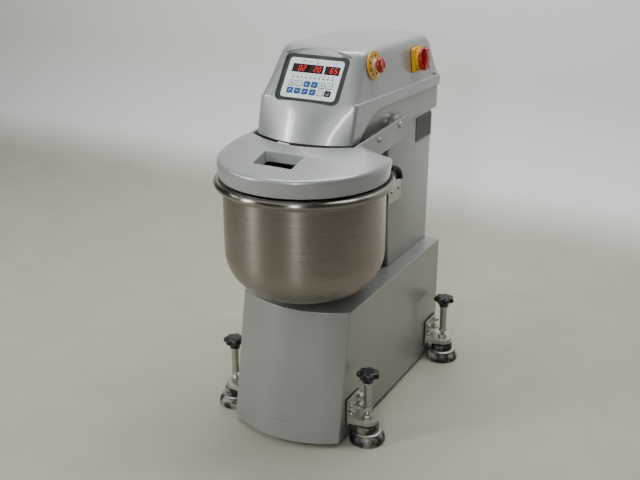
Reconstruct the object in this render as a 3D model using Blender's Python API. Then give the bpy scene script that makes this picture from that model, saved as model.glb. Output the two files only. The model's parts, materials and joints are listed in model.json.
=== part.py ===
"""Floor-standing spiral dough mixer: cabinet, column, head, lid, bowl, hook, two belt
drives, control panel, switches and four levelling feet.

Lengths are metres. The origin is on the floor under the middle of the machine, +Z is up
and the bowl side faces -Y. Inside this file every Y is measured from the bowl's axis,
and the empty "machine" moves the whole model to the middle of its own box.
"""
import math

import bmesh
import bpy
from mathutils import Matrix, Vector

MM = 0.001
GAP = 0.3 * MM                    # between pieces that touch or are bolted together

# ---- driving dimensions: cabinet and column
BASE_WIDTH = 288 * MM
BASE_TOP = 330 * MM
FLOOR_GAP = 12 * MM
BASE_FRONT_TOP = -43.5 * MM       # front corners at the top
BASE_FRONT_FOOT = -100.6 * MM     # front corners at the foot, so the front leans out
BASE_BOW = 46 * MM                # how far the front bulges ahead of its corners
SHEET = 3 * MM
COLUMN_WIDTH = 207 * MM
COLUMN_DEPTH = 250 * MM

# ---- bowl
BOWL_RADIUS = 188 * MM
BOWL_HEIGHT = 265 * MM            # underside to the middle of the rolled rim
BOWL_CORNER = 100 * MM
BOWL_WALL = 2.5 * MM
BOWL_LIFT = 24 * MM               # underside above the cabinet's top
BEAD_RADIUS = 9.5 * MM

# ---- head
HEAD_WIDTH = 244 * MM
HEAD_HEIGHT = 200 * MM          # cover's lower edge to its crown, at the bowl's axis
HEAD_SLOPE = -0.033               # the head falls towards the back
HEAD_FRONT = -3 * MM              # lower front corners of the cover
CASING_WIDTH = 232 * MM
CASING_HEIGHT = 75 * MM
COVER_WALL = 4 * MM

# ---- lid
LID_LIFT = 5.5 * MM               # skirt's edge above the bowl's rim
LID_SKIRT = 39 * MM
LID_WALL = 4 * MM
LID_RISE = 39.8 * MM              # from the shoulder up to the arms, at the bowl's axis
LID_RIM_FALL = 0.05               # the cut-out's edge drops this much per unit towards the front
LID_OPEN = 45                     # degrees, used by the joint in the record
ARM_THICKNESS = 8 * MM
ARM_GAP = 8 * MM                  # between the cover and an arm
HINGE_Y = 220 * MM
HINGE_RADIUS = 7.5 * MM
FEED_WIDTH = 103 * MM
FEED_LENGTH = 62 * MM

# ---- tools in the bowl
HOOK_REACH = 75 * MM
HOOK_BAR = 25 * MM
HOOK_CLEARANCE = 10.5 * MM        # to the bowl's wall
HOOK_TURNS = 1.4
BREAKER_RADIUS = 15 * MM
BREAKER_Y = -8 * MM
FLOOR_CLEARANCE = 12 * MM         # tools above the bowl's bottom

# ---- drives
BOWL_PULLEY = 87.5 * MM
BOWL_DRIVER = 25 * MM
HOOK_PULLEY = 76 * MM
HOOK_DRIVER = 19 * MM
BELT = 5 * MM
BELT_WIDTH = 20 * MM

# ---- control panel
PANEL_CENTRE = Vector((0, 37.5 * MM, 841.6 * MM))
PANEL_LEAN = math.atan2(55.5, 77.8)
MEMBRANE = (138 * MM, 97 * MM)
MEMBRANE_CORNER = 8 * MM
MEMBRANE_THICKNESS = 1.6 * MM
BEZEL = (163 * MM, 118 * MM)
BEZEL_CORNER = 17 * MM
KEY_PITCH = (19.2 * MM, 18 * MM)
KEY_SIZE = (15.4 * MM, 13.6 * MM)
KEY_ROW_Y = -13.4 * MM
KEY_TRAVEL = 0.4 * MM
KEY_HOLE = 0.3 * MM
WINDOW_Y = 23.8 * MM
WINDOW_HEIGHT = 20 * MM
WINDOWS = {"display_times": (-57.5 * MM, 20 * MM), "display_level": (25 * MM, 61.8 * MM)}

# ---- switches on the right-hand side
ESTOP_Y = 115 * MM
ESTOP_LEVEL = 873.8 * MM
ESTOP_PLATE_RADIUS = 33 * MM
ESTOP_HEAD_RADIUS = 18 * MM
ESTOP_TRAVEL = 4.5 * MM
SWITCH_Y = 357 * MM
SWITCH_LEVEL = 856.5 * MM
SWITCH_PLATE = 60 * MM
SWITCH_NECK_RADIUS = 26.5 * MM
SWITCH_KNOB_RADIUS = 28.5 * MM

# ---- levelling feet
FOOT_OUT = 42 * MM                # spindle's axis outside the cabinet's side
FOOT_FRONT = -32 * MM
FOOT_REAR = 447 * MM
PAD_RADIUS = 43 * MM
PAD_HEIGHT = 44 * MM
SPINDLE_RADIUS = 6 * MM
SLEEVE_RADIUS = 9 * MM            # plain upper part of the spindle
FOOT_KNOB_RADIUS = 28 * MM
FOOT_KNOB_LEVEL = 178 * MM
FOOT_TRAVEL = 10 * MM

# ---- places that follow from the dimensions above
RIM_RADIUS = BOWL_RADIUS + 2 * BEAD_RADIUS + 1 * MM
BOWL_BOTTOM = BASE_TOP + BOWL_LIFT
BEAD_LEVEL = BOWL_BOTTOM + BOWL_HEIGHT
RIM_TOP = BEAD_LEVEL + BEAD_RADIUS
LID_EDGE = RIM_TOP + LID_LIFT
LID_SHOULDER = LID_EDGE + LID_SKIRT
LID_RADIUS = RIM_RADIUS - 8 * MM
LID_SKIRT_RADIUS = LID_RADIUS - 4.6 * MM
CASING_BOTTOM = LID_SHOULDER + LID_RISE - 4 * MM     # at the bowl's axis
COVER_EDGE = CASING_BOTTOM + 3.7 * MM
COLUMN_FRONT_TOP = RIM_RADIUS + 18 * MM
COLUMN_FRONT_FOOT = RIM_RADIUS + 37 * MM
COLUMN_REAR_FOOT = COLUMN_FRONT_FOOT + COLUMN_DEPTH
COLUMN_REAR_TOP = COLUMN_REAR_FOOT + 8 * MM
BASE_REAR = COLUMN_REAR_FOOT + 3 * MM
CASING_REAR = COLUMN_REAR_TOP + 8 * MM
COVER_REAR = CASING_REAR + COVER_WALL + 1.5 * MM
CASING_FRONT = 12 * MM
HOOK_Y = BOWL_RADIUS - BOWL_WALL - HOOK_CLEARANCE - HOOK_REACH
HOOK_MOTOR_Y = HOOK_Y + 260 * MM
BOWL_MOTOR_Y = 235 * MM
HINGE_LEVEL = CASING_BOTTOM + 4.2 * MM
ARM_INNER = HEAD_WIDTH / 2 + ARM_GAP
FOOT_X = BASE_WIDTH / 2 + FOOT_OUT
AXIS_Y = (RIM_RADIUS - COVER_REAR) / 2               # bowl's axis in the finished frame


def head_level(level, y):
    """Height of a head line that has this level at the bowl's axis."""
    return level + HEAD_SLOPE * y


# ---------------------------------------------------------------- scene helpers

for old in list(bpy.data.objects):
    bpy.data.objects.remove(old, do_unlink=True)

machine = bpy.data.objects.new("machine", None)
bpy.context.collection.objects.link(machine)
machine.location = (0, AXIS_Y, 0)


def material(name, colour, roughness, metallic):
    mat = bpy.data.materials.new(name)
    mat.use_nodes = True
    shader = mat.node_tree.nodes["Principled BSDF"]
    shader.inputs["Base Color"].default_value = (*colour, 1)
    shader.inputs["Roughness"].default_value = roughness
    shader.inputs["Metallic"].default_value = metallic
    return mat


SILVER_PAINT = material("silver_paint", (0.36, 0.37, 0.38), 0.3, 0.4)
STAINLESS = material("stainless", (0.42, 0.38, 0.34), 0.3, 1.0)
ZINC = material("zinc_plate", (0.62, 0.61, 0.58), 0.35, 1.0)
BLACK_PLASTIC = material("black_plastic", (0.01, 0.01, 0.011), 0.4, 0.0)
BLACK_RUBBER = material("black_rubber", (0.015, 0.015, 0.016), 0.8, 0.0)
WHITE_FILM = material("white_film", (0.75, 0.77, 0.8), 0.4, 0.0)
BLUE_FILM = material("blue_film", (0.02, 0.1, 0.4), 0.4, 0.0)
DARK_WINDOW = material("dark_window", (0.02, 0.004, 0.004), 0.15, 0.0)
YELLOW_PLASTIC = material("yellow_plastic", (0.8, 0.5, 0.02), 0.35, 0.0)
RED_PLASTIC = material("red_plastic", (0.5, 0.01, 0.015), 0.3, 0.0)
CREAM_PLASTIC = material("cream_plastic", (0.62, 0.58, 0.45), 0.4, 0.0)
CAST_IRON = material("cast_iron", (0.12, 0.12, 0.12), 0.6, 0.8)
GREEN_BOARD = material("green_board", (0.02, 0.16, 0.06), 0.5, 0.0)


def finish(name, bm, mat, origin=(0, 0, 0), smooth_angle=35):
    """Turn a bmesh into a named object with its origin at the given point."""
    bmesh.ops.remove_doubles(bm, verts=bm.verts, dist=0.00001)
    bmesh.ops.translate(bm, verts=bm.verts, vec=-Vector(origin))
    bmesh.ops.recalc_face_normals(bm, faces=bm.faces)
    mesh = bpy.data.meshes.new(name)
    bm.to_mesh(mesh)
    bm.free()
    mesh.materials.append(mat)
    mesh.shade_smooth()
    mesh.set_sharp_from_angle(angle=math.radians(smooth_angle))
    obj = bpy.data.objects.new(name, mesh)
    bpy.context.collection.objects.link(obj)
    obj.parent = machine
    obj.location = origin
    return obj


def combine(obj, cutter, operation="DIFFERENCE"):
    """Cut, join or intersect an object with a helper, which is then removed."""
    modifier = obj.modifiers.new("combine", "BOOLEAN")
    modifier.operation = operation
    modifier.solver = "EXACT"
    modifier.object = cutter
    graph = bpy.context.evaluated_depsgraph_get()
    mesh = bpy.data.meshes.new_from_object(obj.evaluated_get(graph))
    obj.modifiers.remove(modifier)
    obj.data = mesh
    mesh.shade_smooth()
    mesh.set_sharp_from_angle(angle=math.radians(35))
    bpy.data.objects.remove(cutter, do_unlink=True)


def ring_faces(bm, rings, closed=False):
    """Join rings of vertices, each as long as the last, with quads."""
    pairs = list(zip(rings, rings[1:]))
    if closed:
        pairs.append((rings[-1], rings[0]))
    for lower, upper in pairs:
        for i in range(len(lower)):
            j = (i + 1) % len(lower)
            bm.faces.new((lower[i], lower[j], upper[j], upper[i]))


def loft(name, rings, mat, origin=(0, 0, 0), closed=False, smooth_angle=35):
    """Skin a list of point rings. Open lofts get a flat cap at each end."""
    bm = bmesh.new()
    made = [[bm.verts.new(point) for point in ring] for ring in rings]
    ring_faces(bm, made, closed)
    if not closed:
        bm.faces.new(list(reversed(made[0])))
        bm.faces.new(made[-1])
    return finish(name, bm, mat, origin, smooth_angle)


def sheet_body(name, outer, inner, mat):
    """Close the space between two equal grids of points, edges included."""
    bm = bmesh.new()
    front = [[bm.verts.new(p) for p in row] for row in outer]
    back = [[bm.verts.new(p) for p in row] for row in inner]
    rows, columns = len(front), len(front[0])
    for i in range(rows - 1):
        for j in range(columns - 1):
            for grid in (front, back):
                bm.faces.new((grid[i][j], grid[i + 1][j], grid[i + 1][j + 1], grid[i][j + 1]))
    for i in range(rows - 1):
        for j in (0, columns - 1):
            bm.faces.new((front[i][j], front[i + 1][j], back[i + 1][j], back[i][j]))
    for j in range(columns - 1):
        for i in (0, rows - 1):
            bm.faces.new((front[i][j], front[i][j + 1], back[i][j + 1], back[i][j]))
    return finish(name, bm, mat)


def turned(name, profile, mat, centre=(0, 0, 0), segments=24, closed=False, smooth_angle=35):
    """Turn a profile of (radius, height) points about a vertical axis.

    A closed profile is a ring's section. An open one runs from axis to axis.
    """
    bm = bmesh.new()
    rings = []
    for radius, height in profile:
        if radius < 1e-7:
            rings.append([bm.verts.new((0, 0, height))])
            continue
        turn = [2 * math.pi * k / segments for k in range(segments)]
        rings.append([bm.verts.new((radius * math.cos(a), radius * math.sin(a), height)) for a in turn])
    pairs = list(zip(rings, rings[1:]))
    if closed:
        pairs.append((rings[-1], rings[0]))
    for lower, upper in pairs:
        for i in range(segments):
            j = (i + 1) % segments
            corners = [lower[i % len(lower)], lower[j % len(lower)], upper[j % len(upper)],
                       upper[i % len(upper)]]
            unique = list(dict.fromkeys(corners))
            bm.faces.new(unique)
    if not closed and len(rings[0]) > 1:
        bm.faces.new(list(reversed(rings[0])))
    if not closed and len(rings[-1]) > 1:
        bm.faces.new(rings[-1])
    obj = finish(name, bm, mat, (0, 0, 0), smooth_angle)
    obj.location = centre
    return obj


def box(name, low, high, mat, origin=(0, 0, 0)):
    low, high = Vector(low), Vector(high)
    bm = bmesh.new()
    bmesh.ops.create_cube(bm, size=1)
    bmesh.ops.scale(bm, verts=bm.verts, vec=high - low)
    bmesh.ops.translate(bm, verts=bm.verts, vec=(low + high) / 2)
    return finish(name, bm, mat, origin)


def rounded_rectangle(width, height, radius, steps=4):
    """Points of a rectangle with round corners, centred on the origin."""
    points = []
    for turn, (sx, sy) in enumerate(((1, 1), (-1, 1), (-1, -1), (1, -1))):
        cx = sx * (width / 2 - radius)
        cy = sy * (height / 2 - radius)
        for k in range(steps + 1):
            a = math.pi / 2 * (turn + k / steps)
            points.append((cx + radius * math.cos(a), cy + radius * math.sin(a)))
    return points


def plate(name, outline, low, high, mat):
    """Extrude an outline of (x, y) points between two heights."""
    return loft(name, [[(x, y, low) for x, y in outline], [(x, y, high) for x, y in outline]], mat)


def circle(radius, count=24, centre=(0, 0)):
    turn = [2 * math.pi * k / count for k in range(count)]
    return [(centre[0] + radius * math.cos(a), centre[1] + radius * math.sin(a)) for a in turn]


def bezier(start, control, end, steps):
    """Points along a quadratic curve, both ends included."""
    points = []
    for k in range(steps + 1):
        t = k / steps
        a, b, c = (1 - t) ** 2, 2 * t * (1 - t), t ** 2
        points.append(tuple(a * p + b * q + c * r for p, q, r in zip(start, control, end)))
    return points


# ---------------------------------------------------------------- plan outlines

def plan_outline(half, front, bow, rear, front_radius, rear_radius):
    """Half-plan of a housing with a bowed front, mirrored to a full ring of (x, y)."""
    inner_x = half - front_radius
    right = [(inner_x * k / 6, front - bow * (1 - (inner_x * k / 6 / half) ** 2)) for k in range(7)]
    right += bezier(right[-1], (half, front), (half, front + max(front_radius, 1 * MM)), 4)[1:]
    right += [(half, front + (rear - front) * share) for share in (0.35, 0.65)]
    right += bezier((half, rear - rear_radius), (half, rear), (half - rear_radius, rear), 4)
    left = [(-x, y) for x, y in reversed(right[1:])]
    return right + left


# ---------------------------------------------------------------- cabinet and column

def cabinet_ring(share, level, inset=0.0, bend=0.0):
    """Outline of the cabinet at a share of its height, from 0 at the foot to 1 at the top."""
    front = BASE_FRONT_FOOT + (BASE_FRONT_TOP - BASE_FRONT_FOOT) * share
    outline = plan_outline(BASE_WIDTH / 2 - inset, front + 1.4 * inset, BASE_BOW, BASE_REAR - inset,
                           (3 - bend) * MM, (6 - bend) * MM)
    return [(x, y, level) for x, y in outline]


def make_base_housing():
    height = BASE_TOP - FLOOR_GAP
    fold = 2 * MM
    outer = [cabinet_ring(0, FLOOR_GAP), cabinet_ring(1 - fold / height, BASE_TOP - fold),
             cabinet_ring(1, BASE_TOP, fold)]
    inner = [cabinet_ring(1 - SHEET / height, BASE_TOP - SHEET, SHEET, 1),
             cabinet_ring(0, FLOOR_GAP, SHEET, 1)]
    bm = bmesh.new()
    outer_verts = [[bm.verts.new(p) for p in ring] for ring in outer]
    inner_verts = [[bm.verts.new(p) for p in ring] for ring in inner]
    ring_faces(bm, outer_verts)
    bm.faces.new(outer_verts[-1])
    ring_faces(bm, inner_verts)
    bm.faces.new(list(reversed(inner_verts[0])))
    ring_faces(bm, [inner_verts[-1], outer_verts[0]])
    housing = finish("base_housing", bm, SILVER_PAINT)
    shaft_hole = turned("cut", [(0, BASE_TOP - 20 * MM), (50 * MM, BASE_TOP - 20 * MM),
                                (50 * MM, BASE_TOP + 5 * MM), (0, BASE_TOP + 5 * MM)], ZINC, segments=32)
    combine(housing, shaft_hole)
    opening = box("cut", (-60 * MM, COLUMN_FRONT_FOOT + 60 * MM, BASE_TOP - 20 * MM),
                  (60 * MM, COLUMN_REAR_FOOT - 40 * MM, BASE_TOP + 5 * MM), ZINC)
    combine(housing, opening)
    return housing


def make_base_chassis():
    """Welded frame in the cabinet: bottom plate, posts and the bridge that holds the bowl."""
    side = BASE_WIDTH / 2 - SHEET - 2 * MM
    front = BASE_FRONT_TOP - 20 * MM
    rear = BASE_REAR - SHEET - 3 * MM
    plate_low = FLOOR_GAP + 6 * MM
    plate_high = plate_low + 5 * MM
    bridge_low = BASE_TOP - SHEET - GAP - 8 * MM
    chassis = box("base_chassis", (-side, front, plate_low), (side, rear, plate_high), CAST_IRON)
    window = box("cut", (-side + 45 * MM, front + 30 * MM, plate_low - 5 * MM),
                 (side - 45 * MM, BOWL_MOTOR_Y - 75 * MM, plate_high + 5 * MM), CAST_IRON)
    combine(chassis, window)
    for sx in (-1, 1):
        for y in (BASE_FRONT_TOP + 10 * MM, 100 * MM):
            x0, x1 = sorted((sx * side, sx * (side - 24 * MM)))
            post = box("post", (x0, y, plate_high - 1 * MM), (x1, y + 24 * MM, bridge_low + 1 * MM),
                       CAST_IRON)
            combine(chassis, post, "UNION")
    bridge = box("bridge", (-side, BASE_FRONT_TOP + 10 * MM, bridge_low),
                 (side, 135 * MM, BASE_TOP - SHEET - GAP), CAST_IRON)
    combine(chassis, bridge, "UNION")
    hole = turned("cut", [(0, bridge_low - 10 * MM), (46 * MM, bridge_low - 10 * MM),
                          (46 * MM, BASE_TOP), (0, BASE_TOP)], CAST_IRON, segments=32)
    combine(chassis, hole)
    return chassis


def column_ring(share, inset, above=0.0):
    """Outline of the column, from 0 at the cabinet to 1 under the head."""
    front = COLUMN_FRONT_FOOT + (COLUMN_FRONT_TOP - COLUMN_FRONT_FOOT) * share + inset
    rear = COLUMN_REAR_FOOT + (COLUMN_REAR_TOP - COLUMN_REAR_FOOT) * share - inset
    half = COLUMN_WIDTH / 2 - inset
    fold = 3 * MM if inset == 0 else 1.5 * MM
    corners = []
    for x, y, sx, sy in ((half, rear, 1, 1), (-half, rear, -1, 1), (-half, front, -1, -1),
                         (half, front, 1, -1)):
        first, second = (x, y - sy * fold), (x - sx * fold, y)
        corners += [first, second] if sx == sy else [second, first]
    level = BASE_TOP + GAP
    return [(x, y, (head_level(CASING_BOTTOM, y) - GAP if share > 0.5 else level)) for x, y in corners]


def make_column_housing():
    rings = [column_ring(0, 0), column_ring(1, 0), column_ring(1, SHEET), column_ring(0, SHEET)]
    return loft("column_housing", rings, SILVER_PAINT, closed=True)


def make_vent_grille():
    """Slotted plate over the motor's air opening, high on the column's right side."""
    x = COLUMN_WIDTH / 2 + GAP
    y0, y1 = COLUMN_REAR_TOP - 101 * MM, COLUMN_REAR_TOP - 5 * MM
    z1 = head_level(CASING_BOTTOM, y1) - 9 * MM
    z0 = z1 - 62 * MM
    grille = box("vent_grille", (x, y0, z0), (x + 2 * MM, y1, z1), BLACK_PLASTIC)
    slots = 9
    pitch = (y1 - y0 - 14 * MM) / slots
    for k in range(slots):
        y = y0 + 7 * MM + pitch * (k + 0.5)
        slot = box("cut", (x - 1 * MM, y - 2 * MM, z0 + 8 * MM), (x + 4 * MM, y + 2 * MM, z1 - 8 * MM),
                   BLACK_PLASTIC)
        combine(grille, slot)
    return grille


def make_contactor_panel():
    """Back plate in the cabinet with the contactors, drives and terminal rail on it."""
    y = BASE_REAR - SHEET - 12 * MM
    panel = box("contactor_panel", (-100 * MM, y - 3 * MM, 60 * MM), (100 * MM, y, 300 * MM), ZINC)
    for x0, x1, z0, z1, depth in ((-85, -30, 200, 280, 70), (-20, 25, 200, 280, 70), (35, 85, 190, 285, 85),
                                  (-85, 85, 120, 160, 40)):
        block = box("block", (x0 * MM, y - (3 + depth) * MM, z0 * MM), (x1 * MM, y - 2 * MM, z1 * MM), ZINC)
        combine(panel, block, "UNION")
    return panel


# ---------------------------------------------------------------- head

def cover_stations():
    """Levels of the cover: (level, half width, front, bow, rear, front radius, rear radius)."""
    half, front, rear = HEAD_WIDTH / 2, HEAD_FRONT, COVER_REAR
    rows = (
        (0, 0, 0, 42, 0, 6, 20), (32.5, 0.7, 7, 35, 0, 6, 20), (66.5, 1.4, 15, 27, 0, 7, 20),
        (84.5, 2.0, 19.5, 22, 0, 9, 20), (88, -1.4, 20.5, 21, -10, 10, 18),
        (105.5, -3.2, 30, 17, -24, 20, 18),
        (122.5, -5, 40, 14, -33, 28, 18), (140.5, -6.8, 50.5, 12, -41, 33, 18),
        (157.5, -8.5, 61, 10, -48, 36, 20),
        (173.5, -10.5, 71, 9, -54, 38, 24), (186, -13.5, 80, 8, -60, 38, 28),
        (194.5, -20, 91, 7, -70, 34, 30),
        (198.8, -32, 106, 6, -84, 26, 30), (200, -52, 128, 5, -108, 20, 30))
    stretch = HEAD_HEIGHT / (200 * MM)
    return [(COVER_EDGE + level * MM * stretch, half + wide * MM, front + back * MM, bow * MM,
             rear + deep * MM,
             front_radius * MM, rear_radius * MM)
            for level, wide, back, bow, deep, front_radius, rear_radius in rows]


def cover_ring(station, inset=0.0):
    level, half, front, bow, rear, front_radius, rear_radius = station
    outline = plan_outline(half - inset, front + 1.25 * inset, bow, rear - inset,
                           max(front_radius - inset, 2 * MM), max(rear_radius - inset, 2 * MM))
    return [(x, y, head_level(level, y)) for x, y in outline]


def cover_half_width(level):
    """Half width of the cover's side wall at a level."""
    stations = cover_stations()
    for low, high in zip(stations, stations[1:]):
        if low[0] <= level <= high[0]:
            share = (level - low[0]) / (high[0] - low[0])
            return low[1] + (high[1] - low[1]) * share
    return stations[-1][1]


def panel_matrix():
    up = Vector((0, math.sin(PANEL_LEAN), math.cos(PANEL_LEAN)))
    out = Vector((0, -math.cos(PANEL_LEAN), math.sin(PANEL_LEAN)))
    rows = ((1, 0, 0, 0), (0, up.y, out.y, 0), (0, up.z, out.z, 0), (0, 0, 0, 1))
    return Matrix.Translation(PANEL_CENTRE) @ Matrix(rows)


def on_panel(obj, x=0.0, y=0.0, z=0.0):
    """Place an object that was built flat on the leaning panel."""
    obj.matrix_local = panel_matrix() @ Matrix.Translation((x, y, z))
    return obj


def side_matrix(y, level):
    """Frame on the cover's right wall: local Z points out, square to the sloping wall."""
    low, high = cover_half_width(level - 15 * MM), cover_half_width(level + 15 * MM)
    lean = math.atan2(low - high, 30 * MM)
    place = Vector((cover_half_width(level), y, head_level(level, y)))
    return Matrix.Translation(place) @ Matrix.Rotation(math.pi / 2 - lean, 4,
                                                       "Y") @ Matrix.Rotation(math.pi / 2, 4, "Z")


def make_head_cover():
    stations = cover_stations()
    outer = [cover_ring(s) for s in stations]
    inner = [cover_ring((s[0] - (COVER_WALL if s[0] > stations[9][0] else 0), *s[1:]), COVER_WALL)
             for s in reversed(stations) if s[0] < stations[-1][0]]
    bm = bmesh.new()
    outer_verts = [[bm.verts.new(p) for p in ring] for ring in outer]
    inner_verts = [[bm.verts.new(p) for p in ring] for ring in inner]
    ring_faces(bm, outer_verts)
    bm.faces.new(outer_verts[-1])
    ring_faces(bm, inner_verts)
    bm.faces.new(list(reversed(inner_verts[0])))
    ring_faces(bm, [inner_verts[-1], outer_verts[0]])
    cover = finish("head_cover", bm, SILVER_PAINT)
    # the sides end in an arch behind the front, and in a straight edge from there to the back
    arch = bezier((35 * MM, 0), (91 * MM, 62 * MM), (153 * MM, 64.5 * MM), 8)
    profile = [(35 * MM, -40 * MM)] + arch + [(COVER_REAR + 60 * MM, 64.5 * MM),
                                              (COVER_REAR + 60 * MM, -40 * MM)]
    wide = HEAD_WIDTH / 2 + 40 * MM
    rings = [[(x, HEAD_FRONT + y, head_level(COVER_EDGE + z - 1 * MM, HEAD_FRONT + y)) for y, z in profile]
             for x in (-wide, wide)]
    combine(cover, loft("cut", rings, ZINC))
    hole = plate("cut", rounded_rectangle(BEZEL[0] + 2 * GAP, BEZEL[1] + 2 * GAP, BEZEL_CORNER),
                 -30 * MM, 40 * MM, ZINC)
    combine(cover, on_panel(hole))
    for y, level, radius in ((ESTOP_Y, ESTOP_LEVEL, 11.5 * MM), (SWITCH_Y, SWITCH_LEVEL, 8 * MM)):
        bore = plate("cut", circle(radius), -12 * MM, 12 * MM, ZINC)
        bore.matrix_local = side_matrix(y, level)
        combine(cover, bore)
    return cover


def make_head_casing():
    """Steel box on the column that carries the spiral's drive, open at the top."""
    half, front, rear, wall = CASING_WIDTH / 2, CASING_FRONT, CASING_REAR, SHEET
    chamfer = 24 * MM

    def ring(inset, level):
        shape = [(half - inset, rear - 12 * MM), (half - 6 * MM, rear - inset),
                 (-half + 6 * MM, rear - inset),
                 (-half + inset, rear - 12 * MM), (-half + inset, front + chamfer + 4 * MM),
                 (-half + chamfer, front + inset), (half - chamfer, front + inset),
                 (half - inset, front + chamfer + 4 * MM)]
        return [(x, y, head_level(level, y)) for x, y in shape]

    top = CASING_BOTTOM + CASING_HEIGHT
    outer = [ring(6 * MM, CASING_BOTTOM), ring(0, CASING_BOTTOM + 8 * MM), ring(0, top)]
    inner = [ring(wall, top), ring(wall, CASING_BOTTOM + 8 * MM), ring(6 * MM + wall, CASING_BOTTOM + wall)]
    casing = loft("head_casing", outer + inner, SILVER_PAINT)
    holes = ((0, HOOK_Y, 32 * MM), (0, HOOK_MOTOR_Y, 26 * MM))
    for x, y, radius in holes:
        combine(casing, plate("cut", circle(radius, 24, (x, y)),
                              CASING_BOTTOM - 60 * MM, CASING_BOTTOM + 20 * MM, ZINC))
    hinge = rod("cut", HINGE_RADIUS + GAP, -CASING_WIDTH, CASING_WIDTH)
    combine(casing, hinge)
    return casing


def make_head_underplate():
    """Stainless plate under the head, over the bowl."""
    top = CASING_BOTTOM - GAP
    half = HEAD_WIDTH / 2 - COVER_WALL - 2 * MM
    rear = COLUMN_FRONT_TOP - 2 * MM
    outline = plan_outline(half, HEAD_FRONT + 8 * MM, 40 * MM, rear, 6 * MM, 6 * MM)
    rings = [[(x, y, head_level(top - 3 * MM, y)) for x, y in outline],
             [(x, y, head_level(top, y)) for x, y in outline]]
    cover = loft("head_underplate", rings, STAINLESS)
    combine(cover, plate("cut", circle(30 * MM, 24, (0, HOOK_Y)), top - 60 * MM, top + 20 * MM, ZINC))
    return cover


# ---------------------------------------------------------------- control panel

def make_control_panel():
    bezel_top = -MEMBRANE_THICKNESS - GAP
    bezel = plate("control_bezel", rounded_rectangle(*BEZEL, BEZEL_CORNER),
                  bezel_top - 4 * MM, bezel_top, BLACK_PLASTIC)
    on_panel(bezel)
    window = plate("cut", rounded_rectangle(126 * MM, 84 * MM, 5 * MM),
                   bezel_top - 9 * MM, bezel_top + 5 * MM, ZINC)
    combine(bezel, on_panel(window))
    membrane = plate("keypad_membrane", rounded_rectangle(*MEMBRANE, MEMBRANE_CORNER),
                     -MEMBRANE_THICKNESS, 0, WHITE_FILM)
    on_panel(membrane)
    for x, y in key_places():
        hole = plate("cut", rounded_rectangle(KEY_SIZE[0] + 2 * KEY_HOLE, KEY_SIZE[1] + 2 * KEY_HOLE,
                                              2 * MM, 2),
                     -5 * MM, 5 * MM, ZINC)
        combine(membrane, on_panel(hole, x, y))
    for low, high in WINDOWS.values():
        hole = plate("cut", rounded_rectangle(high - low + 2 * KEY_HOLE, WINDOW_HEIGHT + 2 * KEY_HOLE,
                                              1.5 * MM, 2),
                     -5 * MM, 5 * MM, ZINC)
        combine(membrane, on_panel(hole, (low + high) / 2, WINDOW_Y))
    for name, (low, high) in WINDOWS.items():
        lens = plate(name, rounded_rectangle(high - low, WINDOW_HEIGHT, 1.5 * MM, 2),
                     -MEMBRANE_THICKNESS + 0.2 * MM, 0.2 * MM, DARK_WINDOW)
        on_panel(lens, (low + high) / 2, WINDOW_Y)
    board_top = bezel_top - 4 * MM - 3 * MM
    board = plate("control_board", rounded_rectangle(146 * MM, 100 * MM, 3 * MM, 2),
                  board_top - 1.6 * MM, board_top, GREEN_BOARD)
    on_panel(board)


def key_places():
    return [(KEY_PITCH[0] * (column - 2.5),
             KEY_ROW_Y - KEY_PITCH[1] * row) for row in range(2) for column in range(6)]


def make_keys():
    """Twelve keys, left to right in two rows, each in its own hole in the membrane."""
    for number, (x, y) in enumerate(key_places()):
        outline = rounded_rectangle(*KEY_SIZE, 2 * MM, 2)
        key = plate(f"key_{number + 1:02d}", outline, -MEMBRANE_THICKNESS + KEY_TRAVEL, 0.6 * MM, BLUE_FILM)
        on_panel(key, x, y)


# ---------------------------------------------------------------- switches

def make_emergency_stop():
    frame = side_matrix(ESTOP_Y, ESTOP_LEVEL)
    stand = 1.2 * MM
    parts = {
        "estop_plate": ([(11.5, 0), (33, 0), (33, 1.5), (31.5, 2.4), (11.5, 2.4)], YELLOW_PLASTIC, True),
        "estop_collar": ([(6.3, -20), (10.8, -20), (10.8, 2.7), (13.5, 2.7), (13.5, 5), (12.3, 9), (6.3, 9)],
                         CREAM_PLASTIC, True),
        "estop_stem": ([(0, -16), (6, -16), (6, 13.7), (0, 13.7)], BLACK_PLASTIC, False),
        "estop_button": ([(0, 14), (16, 14), (18, 15.8), (18, 19.5), (16, 22.5), (12.1, 24.3), (0, 25)],
                         RED_PLASTIC, False)}
    for name, (profile, mat, closed) in parts.items():
        radius_scale = ESTOP_PLATE_RADIUS / (33 * MM) if name == "estop_plate" else 1
        if name == "estop_button":
            radius_scale = ESTOP_HEAD_RADIUS / (18 * MM)
        points = [(r * MM * (radius_scale if r > 12 else 1), z * MM) for r, z in profile]
        piece = turned(name, points, mat, segments=28, closed=closed)
        piece.matrix_local = frame @ Matrix.Translation((0, 0, stand))


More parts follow.
